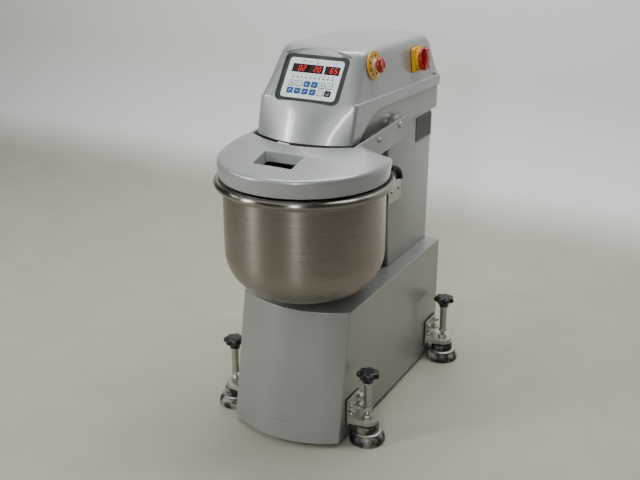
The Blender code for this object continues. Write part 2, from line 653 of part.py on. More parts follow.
def make_main_switch():
    frame = side_matrix(SWITCH_Y, SWITCH_LEVEL)
    stand = 1.2 * MM
    base = plate("switch_plate", rounded_rectangle(SWITCH_PLATE, SWITCH_PLATE, 6 * MM, 3),
                 0, 9 * MM, YELLOW_PLASTIC)
    neck = 15.5 * MM
    combine(base, plate("neck", circle(SWITCH_NECK_RADIUS, 32), 5 * MM, neck, YELLOW_PLASTIC), "UNION")
    combine(base, plate("cut", circle(8 * MM), -5 * MM, 20 * MM, ZINC))
    base.matrix_local = frame @ Matrix.Translation((0, 0, stand))
    low = neck + GAP
    r = SWITCH_KNOB_RADIUS
    knob = turned("switch_knob", [(0, -18 * MM), (5 * MM, -18 * MM), (5 * MM, low), (r - 1.5 * MM, low),
                                  (r, low + 1.5 * MM), (r, low + 6 * MM), (r - 1.5 * MM, low + 7.5 * MM),
                                  (0, low + 7.5 * MM)],
                  RED_PLASTIC, segments=32)
    grip = box("grip", (-6.5 * MM, -r + 1.5 * MM, low + 6 * MM), (6.5 * MM, r - 1.5 * MM, low + 15 * MM),
               RED_PLASTIC)
    combine(knob, grip, "UNION")
    knob.matrix_local = frame @ Matrix.Translation((0, 0, stand))


# ---------------------------------------------------------------- lid

def lid_inner_point(angle):
    """Plan point of the cut-out's edge that belongs to an angle of the lid's rim."""
    rim_x = LID_RADIUS * math.cos(angle)
    side_x = LID_RADIUS * math.cos(math.radians(20))
    edge = ARM_INNER - 1 * MM
    if math.sin(angle) >= -math.sin(math.radians(20)):
        share = (math.degrees(math.asin(math.sin(angle))) + 20) / 42
        return math.copysign(edge, rim_x), HEAD_FRONT - 6 * MM + 21 * MM * share
    x = rim_x * edge / side_x
    return x, HEAD_FRONT - 6 * MM - 42 * MM * (1 - (x / edge) ** 2)


def lid_top(angle, share):
    """Point on the lid's upper skin, from the cut-out (0) to the shoulder (1)."""
    inner_x, inner_y = lid_inner_point(angle)
    rim_x, rim_y = LID_RADIUS * math.cos(angle), LID_RADIUS * math.sin(angle)
    inner_z = LID_SHOULDER + LID_RISE + LID_RIM_FALL * inner_y
    power = 1 + 0.6 * (rim_x / LID_RADIUS) ** 2
    z = inner_z - (inner_z - LID_SHOULDER) * share ** power
    behind = max(0.0, (math.degrees(math.asin(math.sin(angle))) + 20) / 42)
    y = inner_y + (rim_y - inner_y) * share - 18 * MM * 4 * share * (1 - share) * behind
    return Vector((inner_x + (rim_x - inner_x) * share, y, z))


def lid_section(angle):
    """Outer and inner line of the lid's shell at one angle of its rim, edge to edge."""
    out = Vector((math.cos(angle), math.sin(angle), 0))
    down = Vector((0, 0, -1))
    shoulder = lid_top(angle, 1)
    skirt = Vector((LID_SKIRT_RADIUS * out.x, LID_SKIRT_RADIUS * out.y, LID_EDGE))
    fall = (skirt - shoulder).normalized()
    inward = lid_top(angle, 0.12) - lid_top(angle, 0)
    inward.z = 0
    inward.normalize()
    edge = lid_top(angle, 0)
    shares = (0.12, 0.3, 0.5, 0.7, 0.86)
    outer = [edge + down * 12 * MM, edge] + [lid_top(angle, share) for share in shares]
    outer += [lid_top(angle, 0.95),
              shoulder + down * 1.5 * MM - out * 2 * MM, shoulder + fall * 6 * MM, skirt]
    inner = [outer[0] + inward * LID_WALL, edge + inward * LID_WALL + down * 1.2 * LID_WALL]
    inner += [lid_top(angle, share) + down * LID_WALL for share in shares]
    inner += [lid_top(angle, 0.92) + down * LID_WALL, shoulder + down * 6.5 * MM - out * 5.5 * MM,
              shoulder + fall * 11 * MM - out * LID_WALL, skirt - out * LID_WALL]
    return outer, inner


def make_lid():
    start, end, count = math.radians(22), math.radians(-202), 42
    sections = [lid_section(start + (end - start) * k / count) for k in range(count + 1)]
    origin = (0, HINGE_Y, HINGE_LEVEL)
    lid = sheet_body("lid_shell", [outer for outer, inner in sections], [inner for outer, inner in sections],
                     SILVER_PAINT)
    arm_top = LID_SHOULDER + LID_RISE + 2.5 * MM
    rise = 0.047
    tail = HINGE_Y + 36 * MM
    radius = 25 * MM
    tail_level = arm_top + rise * tail - radius
    around = [(tail + radius * math.sin(a), tail_level + radius * math.cos(a))
              for a in (math.pi * k / 10 for k in range(11))]
    profile = [(-14 * MM, arm_top - 4 * MM - rise * 14 * MM), (4 * MM, arm_top)] + around
    profile += [(60 * MM, LID_SHOULDER - 14 * MM), (8 * MM, LID_SHOULDER - 20 * MM),
                (-14 * MM, LID_SHOULDER + 10 * MM)]
    for side in (-1, 1):
        x0, x1 = sorted((side * ARM_INNER, side * (ARM_INNER + ARM_THICKNESS)))
        arm = loft("arm", [[(x, y, z) for y, z in profile] for x in (x0, x1)], SILVER_PAINT)
        combine(lid, arm, "UNION")
    combine(lid, rod("cut", HINGE_RADIUS + GAP, -200 * MM, 200 * MM))
    # feed opening: a tapering chute set into the sloping front
    slope = math.atan2(34, 152)
    middle = Vector((0, HEAD_FRONT - 113 * MM, LID_SHOULDER + 19 * MM))
    frame = Matrix.Translation(middle) @ Matrix.Rotation(slope, 4, "X")

    def frustum(name, grow, low, high):
        top = rounded_rectangle(FEED_WIDTH + 2 * grow, FEED_LENGTH + 2 * grow, 4 * MM, 2)
        foot = rounded_rectangle(FEED_WIDTH - 16 * MM + 2 * grow, FEED_LENGTH - 16 * MM + 2 * grow, 4 * MM,
                                 2)
        spread = high - low
        rings = [[(x + (u - x) * (high - z) / spread, y + (v - y) * (high - z) / spread, z)
                  for (x, y), (u, v) in zip(top, foot)] for z in (low, high)]
        piece = loft(name, rings, SILVER_PAINT)
        piece.matrix_local = frame
        return piece

    combine(lid, frustum("chute", 3.5 * MM, -20 * MM, -1 * MM), "UNION")
    combine(lid, frustum("cut", 0, -24 * MM, 12 * MM))
    lid.data.transform(Matrix.Translation(-Vector(origin)))
    lid.location = origin
    return lid


def rod(name, radius, low, high, y=None, level=None, count=20):
    """Round bar along X at the lid's hinge, or at a given place."""
    y = HINGE_Y if y is None else y
    level = HINGE_LEVEL if level is None else level
    rings = [[(x, y + u, level + v) for u, v in circle(radius, count)] for x in (low, high)]
    return loft(name, rings, ZINC)


def make_hinge_shaft():
    """Shaft across the head with a broad collar and a domed end on each side."""
    end = ARM_INNER + ARM_THICKNESS + GAP
    collar_in = CASING_WIDTH / 2 + GAP
    collar_out = ARM_INNER - GAP
    steps = [(-end - 5 * MM, 6), (-end - 3.5 * MM, 9.5), (-end, 11), (-end, HINGE_RADIUS / MM),
             (-collar_out, HINGE_RADIUS / MM), (-collar_out, 22), (-collar_in, 22),
             (-collar_in, HINGE_RADIUS / MM)]
    steps += [(-x, r) for x, r in reversed(steps)]
    rings = [[(x, HINGE_Y + u, HINGE_LEVEL + v) for u, v in circle(r * MM, 20)] for x, r in steps]
    return loft("hinge_shaft", rings, ZINC)


# ---------------------------------------------------------------- bowl and its drive

def make_bowl():
    outer_r, corner, bottom = BOWL_RADIUS, BOWL_CORNER, BOWL_BOTTOM
    wall_top = BEAD_LEVEL - BEAD_RADIUS * 0.5
    profile = [(0, bottom)]
    profile += [(outer_r - corner + corner * math.sin(a), bottom + corner - corner * math.cos(a))
                for a in (math.pi / 2 * k / 8 for k in range(9))]
    profile += [(outer_r, wall_top)]
    bead_x = RIM_RADIUS - BEAD_RADIUS
    profile += [(bead_x - BEAD_RADIUS * math.cos(a), BEAD_LEVEL - BEAD_RADIUS * math.sin(a))
                for a in (math.radians(40 + 35 * k) for k in range(7))]
    profile += [(outer_r - BOWL_WALL, BEAD_LEVEL + 2 * MM)]
    inner_c = corner - BOWL_WALL
    profile += [(outer_r - corner + inner_c * math.sin(a), bottom + corner - inner_c * math.cos(a))
                for a in (math.pi / 2 * (1 - k / 8) for k in range(9))]
    profile += [(0, bottom + BOWL_WALL)]
    return turned("bowl", profile, STAINLESS, segments=48)


def make_bowl_drive():
    """Hub, bearing housing, pulleys, belt and gear motor under the bowl."""
    top = BOWL_BOTTOM - GAP
    belt_low = 196 * MM
    belt_high = belt_low + BELT_WIDTH
    shaft = 20 * MM
    turned("bowl_hub", [(0, belt_low - 6 * MM), (shaft, belt_low - 6 * MM), (shaft, top - 18 * MM),
                        (42 * MM, top - 14 * MM),
                        (66 * MM, top - 10 * MM), (66 * MM, top), (0, top)], CAST_IRON, segments=32)
    flange_top = BASE_TOP - SHEET - 9 * MM - GAP
    turned("bowl_bearing_housing",
           [(shaft + GAP, belt_high + 8 * MM), (38 * MM, belt_high + 8 * MM),
            (42 * MM, flange_top - 14 * MM),
            (62 * MM, flange_top - 12 * MM), (62 * MM, flange_top), (shaft + GAP, flange_top)],
           CAST_IRON, segments=28, closed=True)
    pulley("bowl_pulley", BOWL_PULLEY, shaft + GAP, belt_low, belt_high, 0)
    driver_shaft("bowl_motor_pulley", BOWL_DRIVER, 9 * MM, belt_low, belt_high, BOWL_MOTOR_Y,
                 belt_low - 40 * MM)
    belt("bowl_belt", BOWL_PULLEY, 0, BOWL_DRIVER, BOWL_MOTOR_Y, belt_low, belt_high)
    foot = FLOOR_GAP + 11 * MM + GAP
    turned("bowl_motor",
           [(0, foot), (58 * MM, foot), (58 * MM, foot + 8 * MM), (50 * MM, foot + 12 * MM),
            (50 * MM, belt_low - 46 * MM),
            (30 * MM, belt_low - 42 * MM), (0, belt_low - 42 * MM)], CAST_IRON, (0, BOWL_MOTOR_Y, 0),
            segments=28)


def pulley(name, radius, bore, low, high, y, mat=None):
    """Belt pulley with two rims and a hub, turned about a vertical axis."""
    rim, edge, web = radius + 3 * MM, 2.5 * MM, 5 * MM
    mid = (low + high) / 2
    hub = bore + 12 * MM
    inner = radius - 12 * MM
    profile = [(bore, low), (hub, low), (hub, mid - web), (inner, mid - web), (inner, low), (rim, low),
               (rim, low + edge),
               (radius, low + edge), (radius, high - edge), (rim, high - edge), (rim, high), (inner, high),
               (inner, mid + web), (hub, mid + web), (hub, high), (bore, high)]
    return turned(name, profile, mat or CAST_IRON, (0, y, 0), segments=40, closed=True)


def driver_shaft(name, radius, shaft, low, high, y, foot):
    """Small pulley in one piece with the motor shaft that it sits on."""
    rim, edge = radius + 3 * MM, 2.5 * MM
    profile = [(0, foot), (shaft, foot), (shaft, low), (rim, low), (rim, low + edge), (radius, low + edge),
               (radius, high - edge), (rim, high - edge), (rim, high), (0, high)]
    return turned(name, profile, ZINC, (0, y, 0), segments=24)


def belt(name, big, big_y, small, small_y, low, high):
    """Flat belt round two pulleys, as the loop that it runs in."""
    lean = math.asin((big - small) / (small_y - big_y))
    edge = 3 * MM

    def outline(extra):
        flat = []
        for radius, y, start, sweep, steps in ((big, big_y, math.pi - lean, math.pi + 2 * lean, 36),
                                               (small, small_y, lean, math.pi - 2 * lean, 16)):
            reach = (radius + extra) / math.cos(sweep / steps / 2)
            flat += [(reach * math.cos(start + sweep * k / steps),
                      y + reach * math.sin(start + sweep * k / steps))
                     for k in range(steps + 1)]
        return flat

    inside, outside = outline(GAP), outline(GAP + BELT)
    z0, z1 = low + edge + GAP, high - edge - GAP
    rings = [[(x, y, z0) for x, y in outside], [(x, y, z1) for x, y in outside],
             [(x, y, z1) for x, y in inside], [(x, y, z0) for x, y in inside]]
    return loft(name, rings, BLACK_RUBBER, closed=True)


# ---------------------------------------------------------------- spiral and its drive

def make_dough_hook():
    """Round bar that leaves the shaft, winds down the bowl and tucks in over its bottom."""
    top = CASING_BOTTOM - 62 * MM
    foot = BOWL_BOTTOM + BOWL_WALL + FLOOR_CLEARANCE + HOOK_BAR / 2
    reach = HOOK_REACH - HOOK_BAR / 2
    steps = 46
    sides = 10

    def smooth(x):
        x = min(max(x, 0.0), 1.0)
        return x * x * (3 - 2 * x)

    path = [Vector((0, 0, top + 16 * MM)), Vector((0, 0, top + 4 * MM))]
    for k in range(1, steps + 1):
        t = k / steps
        radius = reach * smooth(t / 0.2) * (1 - 0.5 * smooth((t - 0.68) / 0.32))
        angle = -math.pi / 2 + 2 * math.pi * HOOK_TURNS * t
        path.append(Vector((radius * math.cos(angle), radius * math.sin(angle), top + (foot - top) * t)))
    rings = []
    side = Vector((1, 0, 0))
    for k, point in enumerate(path):
        ahead = path[min(k + 1, len(path) - 1)] - path[max(k - 1, 0)]
        ahead.normalize()
        side = (side - ahead * side.dot(ahead)).normalized()
        up = ahead.cross(side)
        rings.append([point + (side * math.cos(a) + up * math.sin(a)) * HOOK_BAR / 2
                      for a in (2 * math.pi * j / sides for j in range(sides))])
    hook = loft("dough_hook", rings, STAINLESS, smooth_angle=50)
    flange = plate("flange", circle(32 * MM), top + 12 * MM, top + 22 * MM, STAINLESS)
    combine(hook, flange, "UNION")
    hook.location = (0, HOOK_Y, 0)
    return hook


def make_hook_drive():
    shaft = 17 * MM
    flange_low = CASING_BOTTOM - 62 * MM + 22 * MM + GAP
    belt_low = CASING_BOTTOM + 24 * MM
    belt_high = belt_low + BELT_WIDTH
    turned("hook_shaft", [(0, flange_low), (32 * MM, flange_low), (32 * MM, flange_low + 8 * MM),
                          (shaft, flange_low + 12 * MM),
                          (shaft, belt_high + 8 * MM), (0, belt_high + 8 * MM)], ZINC, (0, HOOK_Y, 0),
                          segments=24)
    low = head_level(CASING_BOTTOM, HOOK_Y - 45 * MM) + SHEET + GAP
    turned("hook_bearing_housing", [(shaft + GAP, low), (45 * MM, low), (45 * MM, low + 6 * MM),
                                    (30 * MM, low + 9 * MM),
                                    (28 * MM, belt_low - 4 * MM), (shaft + GAP, belt_low - 4 * MM)],
           CAST_IRON, (0, HOOK_Y, 0), segments=24, closed=True)
    pulley("hook_pulley", HOOK_PULLEY, shaft + GAP, belt_low, belt_high, HOOK_Y)
    motor_top = 655 * MM
    driver_shaft("hook_motor_pulley", HOOK_DRIVER, 9 * MM, belt_low, belt_high, HOOK_MOTOR_Y,
                 motor_top + GAP)
    belt("hook_belt", HOOK_PULLEY, HOOK_Y, HOOK_DRIVER, HOOK_MOTOR_Y, belt_low, belt_high)
    low = BASE_TOP + 95 * MM
    turned("hook_motor", [(0, low), (62 * MM, low), (68 * MM, low + 8 * MM), (68 * MM, low + 34 * MM),
                          (64 * MM, low + 38 * MM),
                          (64 * MM, motor_top - 20 * MM), (78 * MM, motor_top - 16 * MM),
                          (78 * MM, motor_top - 6 * MM),
                          (40 * MM, motor_top), (0, motor_top)], CAST_IRON, (0, HOOK_MOTOR_Y, 0),
                          segments=32)
    bar_top = head_level(CASING_BOTTOM, BREAKER_Y + 30 * MM) - 4 * MM - GAP
    bar_low = BOWL_BOTTOM + BOWL_WALL + FLOOR_CLEARANCE
    r = BREAKER_RADIUS
    turned("breaker_bar", [(0, bar_low), (r - 4 * MM, bar_low), (r, bar_low + 4 * MM), (r, bar_top - 8 * MM),
                           (30 * MM, bar_top - 8 * MM), (30 * MM, bar_top), (0, bar_top)],
           STAINLESS, (0, BREAKER_Y, 0), segments=24)


# ---------------------------------------------------------------- feet

def make_foot(name, x, y):
    """Bracket on the cabinet's side, knob and spindle, and the pad that it lowers."""
    side = 1 if x > 0 else -1
    wall = side * (BASE_WIDTH / 2 + GAP)
    face = wall + side * 6 * MM
    x0, x1 = sorted((wall, face))
    bracket = box(f"foot_bracket_{name}", (x0, y - 34 * MM, 40 * MM), (x1, y + 34 * MM, 112 * MM), ZINC)
    tab_radius = 24 * MM
    tab = [(face - side * 1 * MM, y - 30 * MM), (x, y - tab_radius)]
    tab += [(x + side * tab_radius * math.sin(a),
             y - tab_radius * math.cos(a)) for a in (math.pi * k / 12 for k in range(1, 12))]
    tab += [(x, y + tab_radius), (face - side * 1 * MM, y + 30 * MM)]
    combine(bracket, plate("tab", tab, 48 * MM, 62 * MM, ZINC), "UNION")
    combine(bracket, plate("cut", circle(SPINDLE_RADIUS + GAP, 16, (x, y)), 30 * MM, 80 * MM, ZINC))
    pad = PAD_RADIUS
    turned(f"foot_pad_{name}", [(0, 0), (pad - 4 * MM, 0), (pad, 5 * MM), (pad, 10 * MM),
                                (pad - 4 * MM, 18 * MM),
                                (pad - 10 * MM, 25 * MM), (pad - 11 * MM, 28 * MM), (pad - 15 * MM, 29 * MM),
                                (pad - 15 * MM, PAD_HEIGHT), (0, PAD_HEIGHT)],
           BLACK_RUBBER, (x, y, 0), segments=24)
    low = PAD_HEIGHT + GAP
    neck = FOOT_KNOB_LEVEL - 22 * MM
    sleeve = 89 * MM
    spindle = turned(f"foot_spindle_{name}",
                     [(0, low), (SPINDLE_RADIUS, low), (SPINDLE_RADIUS, sleeve - 7 * MM),
                      (11 * MM, sleeve - 7 * MM),
                      (11 * MM, sleeve), (SLEEVE_RADIUS, sleeve), (SLEEVE_RADIUS, neck - 6 * MM),
                      (11 * MM, neck - 6 * MM), (11 * MM, neck), (13 * MM, neck), (14 * MM, neck + 12 * MM),
                      (0, neck + 12 * MM)],
                     ZINC, (x, y, 0), segments=16)
    lobes = []
    for k in range(30):
        a = 2 * math.pi * k / 30
        lobes.append((a, FOOT_KNOB_RADIUS * (0.87 + 0.13 * math.cos(6 * a))))
    levels = ((neck + 11 * MM, 0.6), (neck + 14 * MM, 0.92), (neck + 17 * MM, 1.0), (neck + 26 * MM, 1.0),
              (neck + 30 * MM, 0.8))
    rings = [[(x + r * share * math.cos(a), y + r * share * math.sin(a),
               z) for a, r in lobes] for z, share in levels]
    combine(spindle, loft("knob", rings, BLACK_PLASTIC), "UNION")


def make_feet():
    for end, y in (("front", FOOT_FRONT), ("rear", FOOT_REAR)):
        for side, x in (("right", FOOT_X), ("left", -FOOT_X)):
            make_foot(f"{end}_{side}", x, y)


make_base_housing()
make_base_chassis()
make_column_housing()
make_vent_grille()
make_contactor_panel()
make_head_cover()
make_head_casing()
make_head_underplate()
make_control_panel()
make_keys()
make_emergency_stop()
make_main_switch()
make_lid()
make_hinge_shaft()
make_bowl()
make_bowl_drive()
make_dough_hook()
make_hook_drive()
make_feet()
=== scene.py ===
import json
import math

import bmesh
import bpy
from mathutils import Matrix, Vector

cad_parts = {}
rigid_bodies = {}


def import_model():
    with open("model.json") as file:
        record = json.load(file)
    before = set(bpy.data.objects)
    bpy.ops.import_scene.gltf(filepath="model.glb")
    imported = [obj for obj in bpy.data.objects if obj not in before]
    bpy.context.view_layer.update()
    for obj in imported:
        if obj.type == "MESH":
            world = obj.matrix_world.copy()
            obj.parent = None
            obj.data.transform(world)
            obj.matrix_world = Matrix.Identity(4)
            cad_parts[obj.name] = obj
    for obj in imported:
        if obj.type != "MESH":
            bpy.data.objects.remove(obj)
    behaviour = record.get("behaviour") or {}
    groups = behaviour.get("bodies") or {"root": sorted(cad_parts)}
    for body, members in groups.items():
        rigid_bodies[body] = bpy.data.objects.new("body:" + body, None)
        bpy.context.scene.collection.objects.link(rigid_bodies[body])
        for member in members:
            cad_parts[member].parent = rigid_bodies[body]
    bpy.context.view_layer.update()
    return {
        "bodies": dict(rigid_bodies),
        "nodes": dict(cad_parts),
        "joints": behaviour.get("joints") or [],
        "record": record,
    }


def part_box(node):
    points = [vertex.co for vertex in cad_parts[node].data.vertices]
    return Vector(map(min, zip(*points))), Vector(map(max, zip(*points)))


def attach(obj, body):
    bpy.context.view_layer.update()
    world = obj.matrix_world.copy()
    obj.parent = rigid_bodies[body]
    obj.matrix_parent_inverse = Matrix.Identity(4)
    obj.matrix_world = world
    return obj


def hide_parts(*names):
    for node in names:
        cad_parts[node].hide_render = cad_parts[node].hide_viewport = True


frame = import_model()
mm = 0.001
bowlLow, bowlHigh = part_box("bowl")
axisY = (bowlLow[1] + bowlHigh[1]) / 2      # everything below is measured from the bowl's axis
print("frame loaded, bowl axis at y", round(axisY, 4))


# colours and nodes

def hexColour(text):
    # sRGB hex to linear
    parts = [int(text[i:i + 2], 16) / 255 for i in (1, 3, 5)]
    return tuple(c / 12.92 if c <= 0.04045 else ((c + 0.055) / 1.055) ** 2.4 for c in parts) + (1.0,)


def addNode(tree, kind, settings=None, inputs=None):
    node = tree.nodes.new(kind)
    for key, value in (settings or {}).items():
        setattr(node, key, value)
    for key, value in (inputs or {}).items():
        if isinstance(value, bpy.types.NodeSocket):
            tree.links.new(value, node.inputs[key])
        else:
            node.inputs[key].default_value = value
    return node


def finishMaterial(tree, shader, colour, roughFrom, roughSpan, roughRange, bumpFrom, strength, distance):
    # the last nodes of a finish: colour, roughness that wanders with one pattern, and bump from another
    tree.links.new(colour, shader.inputs["Base Color"])
    rough = addNode(tree, "ShaderNodeMapRange", {}, {
        "Value": roughFrom, "From Min": roughSpan[0], "From Max": roughSpan[1], "To Min": roughRange[0],
        "To Max": roughRange[1]})
    tree.links.new(rough.outputs[0], shader.inputs["Roughness"])
    bump = addNode(tree, "ShaderNodeBump", {}, {"Height": bumpFrom, "Strength": strength, "Distance": distance})
    tree.links.new(bump.outputs[0], shader.inputs["Normal"])


def startMaterial(name, look):
    material = bpy.data.materials.new(name)
    material.use_nodes = True
    tree = material.node_tree
    shader = tree.nodes["Principled BSDF"]
    shader.inputs["Metallic"].default_value = look.get("metallic", 0.0)
    shader.inputs["Roughness"].default_value = look.get("roughness", 0.5)
    shader.inputs["Base Color"].default_value = hexColour(look["colour"])
    shader.inputs["Coat Weight"].default_value = look.get("coat", 0.0)
    shader.inputs["Coat Roughness"].default_value = look.get("coatRoughness", 0.1)
    if look.get("metallic", 0.0) == 0.0:
        shader.inputs["IOR"].default_value = look.get("ior", 1.5)
    where = addNode(tree, "ShaderNodeTexCoord").outputs["Object"]
    return material, tree, shader, where


# Silver two-pack paint with aluminium flake under a clear coat, sprayed: soft sparkle, dull where handled.
# Real flake is 0.05 mm, drawn at 1.6 mm so that it shows.
def silverPaint(name, look):
    material, tree, shader, where = startMaterial(name, look)
    flake = addNode(tree, "ShaderNodeTexNoise", {}, {
        "Vector": where, "Scale": 1 / (look["flake"] * mm), "Detail": 3.0, "Roughness": 0.7})
    clouds = addNode(tree, "ShaderNodeTexNoise", {}, {
        "Vector": where, "Scale": 7.0, "Detail": 4.0, "Roughness": 0.55})
    tone = addNode(tree, "ShaderNodeMix", {"data_type": "RGBA"}, {
        6: hexColour(look["dark"]), 7: hexColour(look["colour"]), "Factor": flake.outputs["Fac"]})
    patch = addNode(tree, "ShaderNodeMapRange", {}, {
        "Value": clouds.outputs["Fac"], "From Min": 0.42, "From Max": 0.72, "To Min": 0.0,
        "To Max": look["dust"]})
    dusty = addNode(tree, "ShaderNodeMix", {"data_type": "RGBA"}, {
        6: tone.outputs[2], 7: hexColour(look["dustColour"]), "Factor": patch.outputs[0]})
    colour = dusty.outputs[2]
    if look.get("scuff", 0):
        # long thin marks low on the panels, 1.2 mm tall, from trolleys and brooms
        stretch = addNode(tree, "ShaderNodeMapping", {}, {
            "Vector": where, "Scale": (9.0, 9.0, 620.0), "Rotation": (0.0, 0.035, 0.0)})
        lines = addNode(tree, "ShaderNodeTexNoise", {}, {
            "Vector": stretch.outputs[0], "Scale": 1.0, "Detail": 2.0})
        thin = addNode(tree, "ShaderNodeMapRange", {}, {
            "Value": lines.outputs["Fac"], "From Min": 0.66, "From Max": 0.7})
        spots = addNode(tree, "ShaderNodeTexNoise", {}, {"Vector": where, "Scale": 16.0, "Detail": 5.0})
        patches = addNode(tree, "ShaderNodeMapRange", {}, {
            "Value": spots.outputs["Fac"], "From Min": 0.5, "From Max": 0.6})
        height = addNode(tree, "ShaderNodeSeparateXYZ", {}, {"Vector": where})
        low = addNode(tree, "ShaderNodeMapRange", {}, {
            "Value": height.outputs["Z"], "From Min": look["scuffTop"] * mm,
            "From Max": look["scuffTop"] * 0.4 * mm})
        both = addNode(tree, "ShaderNodeMath", {"operation": "MULTIPLY"}, {
            0: thin.outputs[0], 1: patches.outputs[0]})
        mark = addNode(tree, "ShaderNodeMath", {"operation": "MULTIPLY"}, {
            0: both.outputs[0], 1: low.outputs[0]})
        amount = addNode(tree, "ShaderNodeMath", {"operation": "MULTIPLY"}, {
            0: mark.outputs[0], 1: look["scuff"]})
        scuffed = addNode(tree, "ShaderNodeMix", {"data_type": "RGBA"}, {
            6: colour, 7: hexColour(look["scuffColour"]), "Factor": amount.outputs[0]})
        colour = scuffed.outputs[2]
    finishMaterial(tree, shader, colour, clouds.outputs["Fac"], (0.3, 0.7),
                   (look["roughness"] - 0.05, look["roughness"] + 0.1), flake.outputs["Fac"], 0.06, 0.4 * mm)
    return material


mouldedPaint = silverPaint("silver_paint_on_moulding", {
    "colour": "#a9adae", "dark": "#8f9394", "metallic": 0.4, "roughness": 0.36, "coat": 0.6,
    "coatRoughness": 0.09, "flake": 1.6, "dust": 0.25, "dustColour": "#b4b6b4"})
sheetPaint = silverPaint("silver_paint_on_sheet_steel", {
    "colour": "#9d9f9c", "dark": "#868885", "metallic": 0.4, "roughness": 0.4, "coat": 0.4,
    "coatRoughness": 0.14, "flake": 1.6, "dust": 0.2, "dustColour": "#a5a59f", "scuff": 0.85,
    "scuffColour": "#4b4339", "scuffTop": 190})


# Stainless steel 1.4301, spun and brushed round the bowl: fine level lines that pull highlights upright.
# Real grit lines are 0.1 mm apart, drawn at 0.9 mm.
def brushedSteel(name, look):
    material, tree, shader, where = startMaterial(name, look)
    lines = addNode(tree, "ShaderNodeMapping", {}, {
        "Vector": where, "Scale": (6.0, 6.0, 1 / (look["line"] * mm))})
    grain = addNode(tree, "ShaderNodeTexNoise", {}, {
        "Vector": lines.outputs[0], "Scale": 1.0, "Detail": 3.0, "Roughness": 0.65})
    clouds = addNode(tree, "ShaderNodeTexNoise", {}, {"Vector": where, "Scale": 9.0, "Detail": 5.0})
    tone = addNode(tree, "ShaderNodeMix", {"data_type": "RGBA"}, {
        6: hexColour(look["dark"]), 7: hexColour(look["colour"]), "Factor": grain.outputs["Fac"]})
    stain = addNode(tree, "ShaderNodeMapRange", {}, {
        "Value": clouds.outputs["Fac"], "From Min": 0.5, "From Max": 0.75, "To Min": 0.0,
        "To Max": look["stain"]})
    colour = addNode(tree, "ShaderNodeMix", {"data_type": "RGBA"}, {
        6: tone.outputs[2], 7: hexColour(look["stainColour"]), "Factor": stain.outputs[0]})
    finishMaterial(tree, shader, colour.outputs[2], grain.outputs["Fac"], (0.25, 0.75),
                   (look["roughness"] - 0.06, look["roughness"] + 0.08), grain.outputs["Fac"], look["bump"],
                   0.3 * mm)
    return material


bowlSteel = brushedSteel("stainless_brushed_round", {
    "colour": "#a09a92", "dark": "#7f7971", "metallic": 1.0, "roughness": 0.28, "line": 0.9, "bump": 0.05,
    "stain": 0.3, "stainColour": "#8b847a"})
brushed = bowlSteel.node_tree
brushed.nodes["Principled BSDF"].inputs["Anisotropic"].default_value = 0.85
brushed.nodes["Principled BSDF"].inputs["Anisotropic Rotation"].default_value = 0.25
around = addNode(brushed, "ShaderNodeTangent", {"direction_type": "RADIAL", "axis": "Z"})
brushed.links.new(around.outputs[0], brushed.nodes["Principled BSDF"].inputs["Tangent"])
toolSteel = brushedSteel("stainless_satin", {
    "colour": "#bdb8b0", "dark": "#958f87", "metallic": 1.0, "roughness": 0.26, "line": 1.5, "bump": 0.08,
    "stain": 0.3, "stainColour": "#8b857c"})
# Zinc plate on steel, dulled by flour and damp: bright core, pale chalky patches.
zincPlate = brushedSteel("zinc_plate_dusty", {
    "colour": "#c4c1ba", "dark": "#8f8c86", "metallic": 0.9, "roughness": 0.36, "line": 2.0, "bump": 0.1,
    "stain": 0.9, "stainColour": "#d6d2c7"})


# Grained plastics, rubber and castings: moulded skin with a fine spark-eroded grain and dust lying in it.
def mouldedSkin(name, look):
    material, tree, shader, where = startMaterial(name, look)
    grain = addNode(tree, "ShaderNodeTexNoise", {}, {
        "Vector": where, "Scale": 1 / (look["grain"] * mm), "Detail": 2.0})
    clouds = addNode(tree, "ShaderNodeTexNoise", {}, {
        "Vector": where, "Scale": look.get("patch", 22.0), "Detail": 6.0, "Roughness": 0.65})
    dust = addNode(tree, "ShaderNodeMapRange", {}, {
        "Value": clouds.outputs["Fac"], "From Min": look.get("dustFrom", 0.5),
        "From Max": look.get("dustTo", 0.7), "To Min": 0.0, "To Max": look["dust"]})
    colour = addNode(tree, "ShaderNodeMix", {"data_type": "RGBA"}, {
        6: hexColour(look["colour"]), 7: hexColour(look["dustColour"]), "Factor": dust.outputs[0]})
    finishMaterial(tree, shader, colour.outputs[2], clouds.outputs["Fac"], (0.3, 0.7),
                   (look["roughness"] - 0.05, look["roughness"] + 0.12), grain.outputs["Fac"], look["bump"],
                   0.3 * mm)
    return material


phenolicBlack = mouldedSkin("phenolic_moulded_black", {
    "colour": "#0c0c0d", "roughness": 0.32, "grain": 0.9, "bump": 0.08, "dust": 0.1,
    "dustColour": "#4a4a47"})
padRubber = mouldedSkin("rubber_floury", {
    "colour": "#111113", "roughness": 0.5, "grain": 1.1, "bump": 0.35, "dust": 0.85,
    "dustColour": "#a7a297", "patch": 30.0, "dustFrom": 0.5, "dustTo": 0.66})
gasketRubber = mouldedSkin("rubber_black", {
    "colour": "#0d0d0d", "roughness": 0.7, "grain": 1.0, "bump": 0.2, "dust": 0.2, "dustColour": "#55534e"})
bezelPlastic = mouldedSkin("acrylic_anthracite", {
    "colour": "#353a37", "roughness": 0.3, "grain": 0.8, "bump": 0.05, "dust": 0.25,
    "dustColour": "#5d625d"})
yellowPlastic = mouldedSkin("polyamide_yellow", {
    "colour": "#e6b01c", "roughness": 0.3, "grain": 0.8, "bump": 0.08, "dust": 0.35,
    "dustColour": "#a07c22"})
redPlastic = mouldedSkin("polyamide_red", {
    "colour": "#9e1410", "roughness": 0.28, "grain": 0.8, "bump": 0.05, "dust": 0.15,
    "dustColour": "#8a4a42"})
